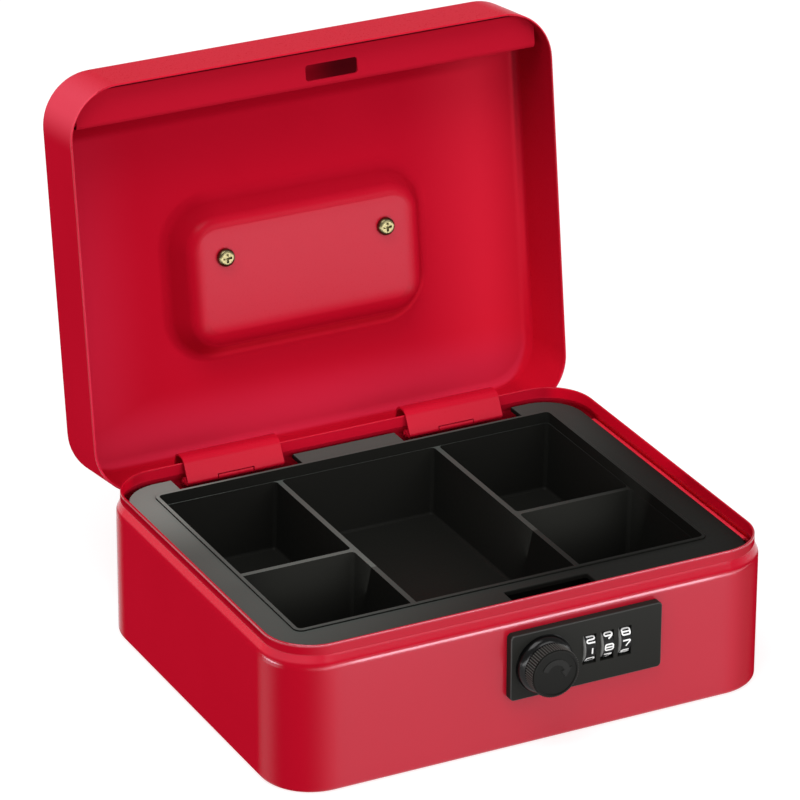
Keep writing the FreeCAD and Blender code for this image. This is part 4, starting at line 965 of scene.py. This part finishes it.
def make_arrow_black():
    """Black plastic of the turn arrow, a little glossier than the knob."""
    return surface("arrow_black", ARROW_DEEP, ARROW_WARM, ARROW_ROUGH, KNOB_GRAIN, KNOB_RELIEF, ARROW_SHEEN)


def make_dial_black():
    """Black plastic with a painted highlight in lighter grey on the left rim of every drum."""
    material = surface("dial_black", DIAL_DEEP, DIAL_WARM, DIAL_ROUGH, DIAL_GRAIN, DIAL_RELIEF, DIAL_SHEEN)
    tree = material.node_tree
    shader = main_shader(material)
    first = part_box("number_ring_1")[0].x
    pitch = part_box("number_ring_2")[0].x - first
    along = minus(tree, split(tree, object_place(tree))[X], first - DIAL_RIM_FADE)
    across = calculate(tree, "MODULO", along, pitch)
    rim = fall(tree, across, DIAL_RIM_WIDTH, DIAL_RIM_WIDTH + DIAL_RIM_FADE)
    feed(tree, shader, "Base Color", blend_to(tree, rim, base_colour(shader), DIAL_RIM_HIGHLIGHT_GREY))
    return material


def make_digit_white():
    """White print of the digits."""
    return surface("digit_white", DIGIT_DEEP, DIGIT_PALE, DIGIT_ROUGH, DIGIT_GRAIN, DIGIT_RELIEF)


def make_yellow_zinc():
    """Yellow plating of the screws."""
    return metal("yellow_zinc", YELLOW_DEEP, YELLOW_PALE, YELLOW_ROUGH, YELLOW_GRAIN, YELLOW_RELIEF)


def make_materials():
    """Every finish on the box, by name."""
    return {
        "body_red": make_body_red(),
        "lid_red": make_lid_red(),
        "fitting_red": paint("fitting_red", FITTING_SHEEN),
        "strip_red": make_strip_red(),
        "ledge_lit_red": make_ledge_lit_red(),
        "tray_black": make_tray_black(),
        "plate_black": make_plate_black(),
        "knob_black": make_knob_black(),
        "arrow_black": make_arrow_black(),
        "dial_black": make_dial_black(),
        "case_black": surface("case_black", CASE_DEEP, CASE_WARM, CASE_ROUGH, CASE_GRAIN, CASE_RELIEF),
        "digit_white": make_digit_white(),
        "zinc": metal("zinc", ZINC_DEEP, ZINC_PALE, ZINC_ROUGH, ZINC_GRAIN, ZINC_RELIEF),
        "yellow_zinc": make_yellow_zinc(),
        "brass": metal("brass", BRASS_DEEP, BRASS_PALE, BRASS_ROUGH, BRASS_GRAIN, BRASS_RELIEF),
        "nickel": metal("nickel", NICKEL_DEEP, NICKEL_PALE, NICKEL_ROUGH, NICKEL_GRAIN, NICKEL_RELIEF),
    }


def finish_name(part):
    """The finish of one node: its own, or the one of its slot."""
    by_slot = FINISH_OF_SLOT.get(part["material_slot"], "fitting_red")
    return FINISH_OF_NODE.get(part["node"], by_slot)


def dress_nodes(finishes):
    """Gives every node its finish."""
    for part in frame["record"]["subparts"]:
        piece = nodes[part["node"]]
        piece.data.materials.clear()
        piece.data.materials.append(finishes[finish_name(part)])


# Signs, drawn flat as strokes and then laid on a surface
def rounded_path(points, corner):
    """An open line of points with its inner corners rounded off."""
    path = [Vector(points[0])]
    for before, middle, after in zip(points, points[1:], points[2:]):
        middle = Vector(middle)
        start = middle + (Vector(before) - middle).normalized() * corner
        end = middle + (Vector(after) - middle).normalized() * corner
        for step in range(BEND_STEPS + 1):
            t = step / BEND_STEPS
            path.append(start * (1 - t) ** 2 + middle * (2 * t * (1 - t)) + end * t ** 2)
    path.append(Vector(points[-1]))
    return path


def ribbon(path, width):
    """Flat corners and faces of a band of even width along a line of points."""
    corners = []
    for index, here in enumerate(path):
        ahead = path[min(index + 1, len(path) - 1)] - path[max(index - 1, 0)]
        aside = Vector((-ahead.y, ahead.x)).normalized() * (width / 2)
        corners += [here + aside, here - aside]
    faces = [(i, i + 1, i + 3, i + 2) for i in range(0, len(corners) - 2, 2)]
    return corners, faces


def on_circle(angle, radius):
    """A flat point at an angle and a distance from the middle."""
    return Vector((math.cos(angle), math.sin(angle))) * radius


def digit_strokes(digit):
    """The lines of one digit, from -1 to 1 both ways."""
    ring = [LOW_MIDDLE, LOW_LEFT, TOP_LEFT, TOP_RIGHT, LOW_RIGHT, LOW_MIDDLE]
    shapes = {
        0: [ring],
        1: [[ONE_TOP, ONE_FOOT]],
        2: [[TOP_LEFT, TOP_RIGHT, MID_RIGHT, MID_LEFT, LOW_LEFT, LOW_RIGHT]],
        3: [[TOP_LEFT, TOP_RIGHT, LOW_RIGHT, LOW_LEFT], [THREE_BAR, MID_RIGHT]],
        4: [[TOP_LEFT, MID_LEFT, MID_RIGHT], [FOUR_TOP, FOUR_FOOT]],
        5: [[TOP_RIGHT, TOP_LEFT, MID_LEFT, MID_RIGHT, LOW_RIGHT, LOW_LEFT]],
        6: [[SIX_END, TOP_LEFT, LOW_LEFT, LOW_RIGHT, MID_RIGHT, MID_LEFT]],
        7: [[TOP_LEFT, TOP_RIGHT, SEVEN_FOOT]],
        8: [ring, [MID_LEFT, MID_RIGHT]],
        9: [[NINE_FOOT, MID_RIGHT, TOP_RIGHT, TOP_LEFT, MID_LEFT, MID_RIGHT]],
    }
    return shapes[digit]


def flat_digit(digit):
    """The bands of one digit, each as flat corners and faces."""
    half_width = (DIGIT_WIDTH - DIGIT_STROKE) / 2
    half_height = (DIGIT_HEIGHT - DIGIT_STROKE) / 2
    bands = []
    for stroke in digit_strokes(digit):
        line = [(u * half_width, v * half_height) for u, v in stroke]
        bands.append(ribbon(rounded_path(line, DIGIT_CORNER), DIGIT_STROKE))
    return bands


def add_piece(name, corners, faces, thick, finish, body):
    """A thin new piece that moves with a body."""
    mesh = bpy.data.meshes.new(name)
    mesh.from_pydata(corners, [], faces)
    mesh.materials.append(finish)
    piece = bpy.data.objects.new(name, mesh)
    bpy.context.scene.collection.objects.link(piece)
    solid = piece.modifiers.new("thickness", "SOLIDIFY")
    solid.thickness = thick
    solid.offset = 0.0
    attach(piece, body)


def on_drum(spot, turn, centre, radius):
    """A flat point of a digit, laid round the drum at the digit's turn."""
    angle = turn + spot.y / radius
    across = centre.x + DIGIT_SHIFT + spot.x
    return across, centre.y - radius * math.cos(angle), centre.z + radius * math.sin(angle)


def add_dial_digits(index, finish):
    """The ring of ten digits on one dial."""
    low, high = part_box("number_ring_%d" % index)
    centre = (low + high) / 2
    radius = (high.z - low.z) / 2 + DIGIT_PROUD
    corners = []
    faces = []
    for digit in range(DIGIT_COUNT):
        turn = DIGIT_TURN + (digit - DIALS_SHOWN[index - 1]) * DIGIT_STEP
        for flat, sides in flat_digit(digit):
            first = len(corners)
            corners += [on_drum(spot, turn, centre, radius) for spot in flat]
            faces += [tuple(first + corner for corner in side) for side in sides]
    name = "dial_%d" % index
    add_piece(name + "_digits", corners, faces, DIGIT_THICK, finish, name)


def add_knob_arrow(finish):
    """A raised arrow that shows which way the knob turns."""
    axis = Vector(joints["knob_turn"]["pos_m"])
    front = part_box("lock_knob")[0].y
    depth = front + ARROW_FLOOR - ARROW_HEIGHT / 2
    path = []
    for step in range(ARROW_STEPS + 1):
        angle = ARROW_START + (ARROW_NECK - ARROW_START) * step / ARROW_STEPS
        path.append(on_circle(angle, ARROW_RADIUS))
    flat, faces = ribbon(path, ARROW_WIDTH)
    faces.append((len(flat), len(flat) + 1, len(flat) + 2))
    flat.append(on_circle(ARROW_NECK, ARROW_RADIUS - ARROW_HEAD_WIDTH / 2))
    flat.append(on_circle(ARROW_NECK, ARROW_RADIUS + ARROW_HEAD_WIDTH / 2))
    flat.append(on_circle(ARROW_TIP, ARROW_RADIUS))
    corners = [(axis.x + spot.x, depth, axis.z + spot.y) for spot in flat]
    add_piece("knob_arrow", corners, faces, ARROW_HEIGHT, finish, "knob")


def add_signs(finishes):
    """The digits on the dials and the arrow on the knob."""
    for index in range(1, DIAL_COUNT + 1):
        add_dial_digits(index, finishes["digit_white"])
    add_knob_arrow(finishes["arrow_black"])


# Studio
def camera_axes():
    """The way the camera looks, from its three turns."""
    yaw = math.radians(CAMERA_YAW)
    pitch = math.radians(CAMERA_PITCH)
    back = Vector((math.sin(yaw) * math.cos(pitch), -math.cos(yaw) * math.cos(pitch), math.sin(pitch)))
    right = Vector((math.cos(yaw), math.sin(yaw), 0.0))
    axes = Matrix((right, back.cross(right), back)).transposed()
    return axes @ Matrix.Rotation(math.radians(CAMERA_ROLL), 3, "Z")


def add_camera():
    """The viewpoint and its lens."""
    data = bpy.data.cameras.new("camera")
    data.sensor_width = CAMERA_SENSOR_MM
    data.lens = CAMERA_LENS_MM
    data.clip_start = CAMERA_NEAR
    data.clip_end = CAMERA_FAR
    camera = bpy.data.objects.new("camera", data)
    camera.matrix_world = Matrix.Translation(CAMERA_PLACE) @ camera_axes().to_4x4()
    bpy.context.scene.collection.objects.link(camera)
    bpy.context.scene.camera = camera


def add_light(name, place, aim, power, size):
    """One soft lamp with its width and height, turned towards a point."""
    data = bpy.data.lights.new(name, "AREA")
    data.shape = "RECTANGLE"
    data.energy = power
    data.size, data.size_y = size
    lamp = bpy.data.objects.new(name, data)
    lamp.location = place
    lamp.rotation_euler = (aim - place).to_track_quat("-Z", "Y").to_euler()
    bpy.context.scene.collection.objects.link(lamp)
    return lamp


def add_floor_sheet(name, place, power, size):
    """A bright sheet lying face up on the floor, seen only in glossy surfaces."""
    sheet = add_light(name, place, place + UP, power, size)
    sheet.visible_camera = False
    sheet.visible_diffuse = False


def make_floor_white():
    """A pale matte finish with a soft glow."""
    material = new_material("floor_white")
    tree = material.node_tree
    shader = main_shader(material)
    feed(tree, shader, "Base Color", two_colours(tree, noise(tree, FLOOR_DRIFT), FLOOR_DEEP, FLOOR_PALE))
    shader.inputs["Roughness"].default_value = FLOOR_ROUGH
    shader.inputs["Emission Color"].default_value = WHITE
    shader.inputs["Emission Strength"].default_value = FLOOR_GLOW
    return material


def add_floor():
    """A pale floor that reaches past the picture on every side."""
    mesh = bpy.data.meshes.new("floor")
    half = FLOOR_SIZE / 2
    corners = [(-half, -half, 0), (half, -half, 0), (half, half, 0), (-half, half, 0)]
    mesh.from_pydata(corners, [], [(0, 1, 2, 3)])
    floor = bpy.data.objects.new("floor", mesh)
    bpy.context.scene.collection.objects.link(floor)
    floor.data.materials.append(make_floor_white())


def add_world():
    """Soft white surroundings."""
    world = bpy.data.worlds.new("studio")
    world.use_nodes = True
    background = world.node_tree.nodes["Background"]
    background.inputs["Color"].default_value = WHITE
    background.inputs["Strength"].default_value = WORLD_STRENGTH
    bpy.context.scene.world = world
    bpy.context.scene.view_settings.view_transform = "Standard"


def add_lamps():
    """Two soft lamps, a weak one in front of the lid's inside and the bright sheets."""
    add_light("key", KEY_PLACE, LIGHT_AIM, KEY_POWER, KEY_SIZE)
    add_light("top", TOP_PLACE, LIGHT_AIM, TOP_POWER, TOP_SIZE)
    bounce = add_light("bounce", BOUNCE_PLACE, BOUNCE_AIM, BOUNCE_POWER, BOUNCE_SIZE)
    bounce.visible_camera = False
    bounce.visible_glossy = False
    add_floor_sheet("front_sheet", FRONT_SHEET_PLACE, FRONT_SHEET_POWER, FRONT_SHEET_SIZE)
    add_floor_sheet("left_sheet", LEFT_SHEET_PLACE, LEFT_SHEET_POWER, LEFT_SHEET_SIZE)


add_camera()
add_world()
add_lamps()
add_floor()
finishes = make_materials()
dress_nodes(finishes)
add_signs(finishes)
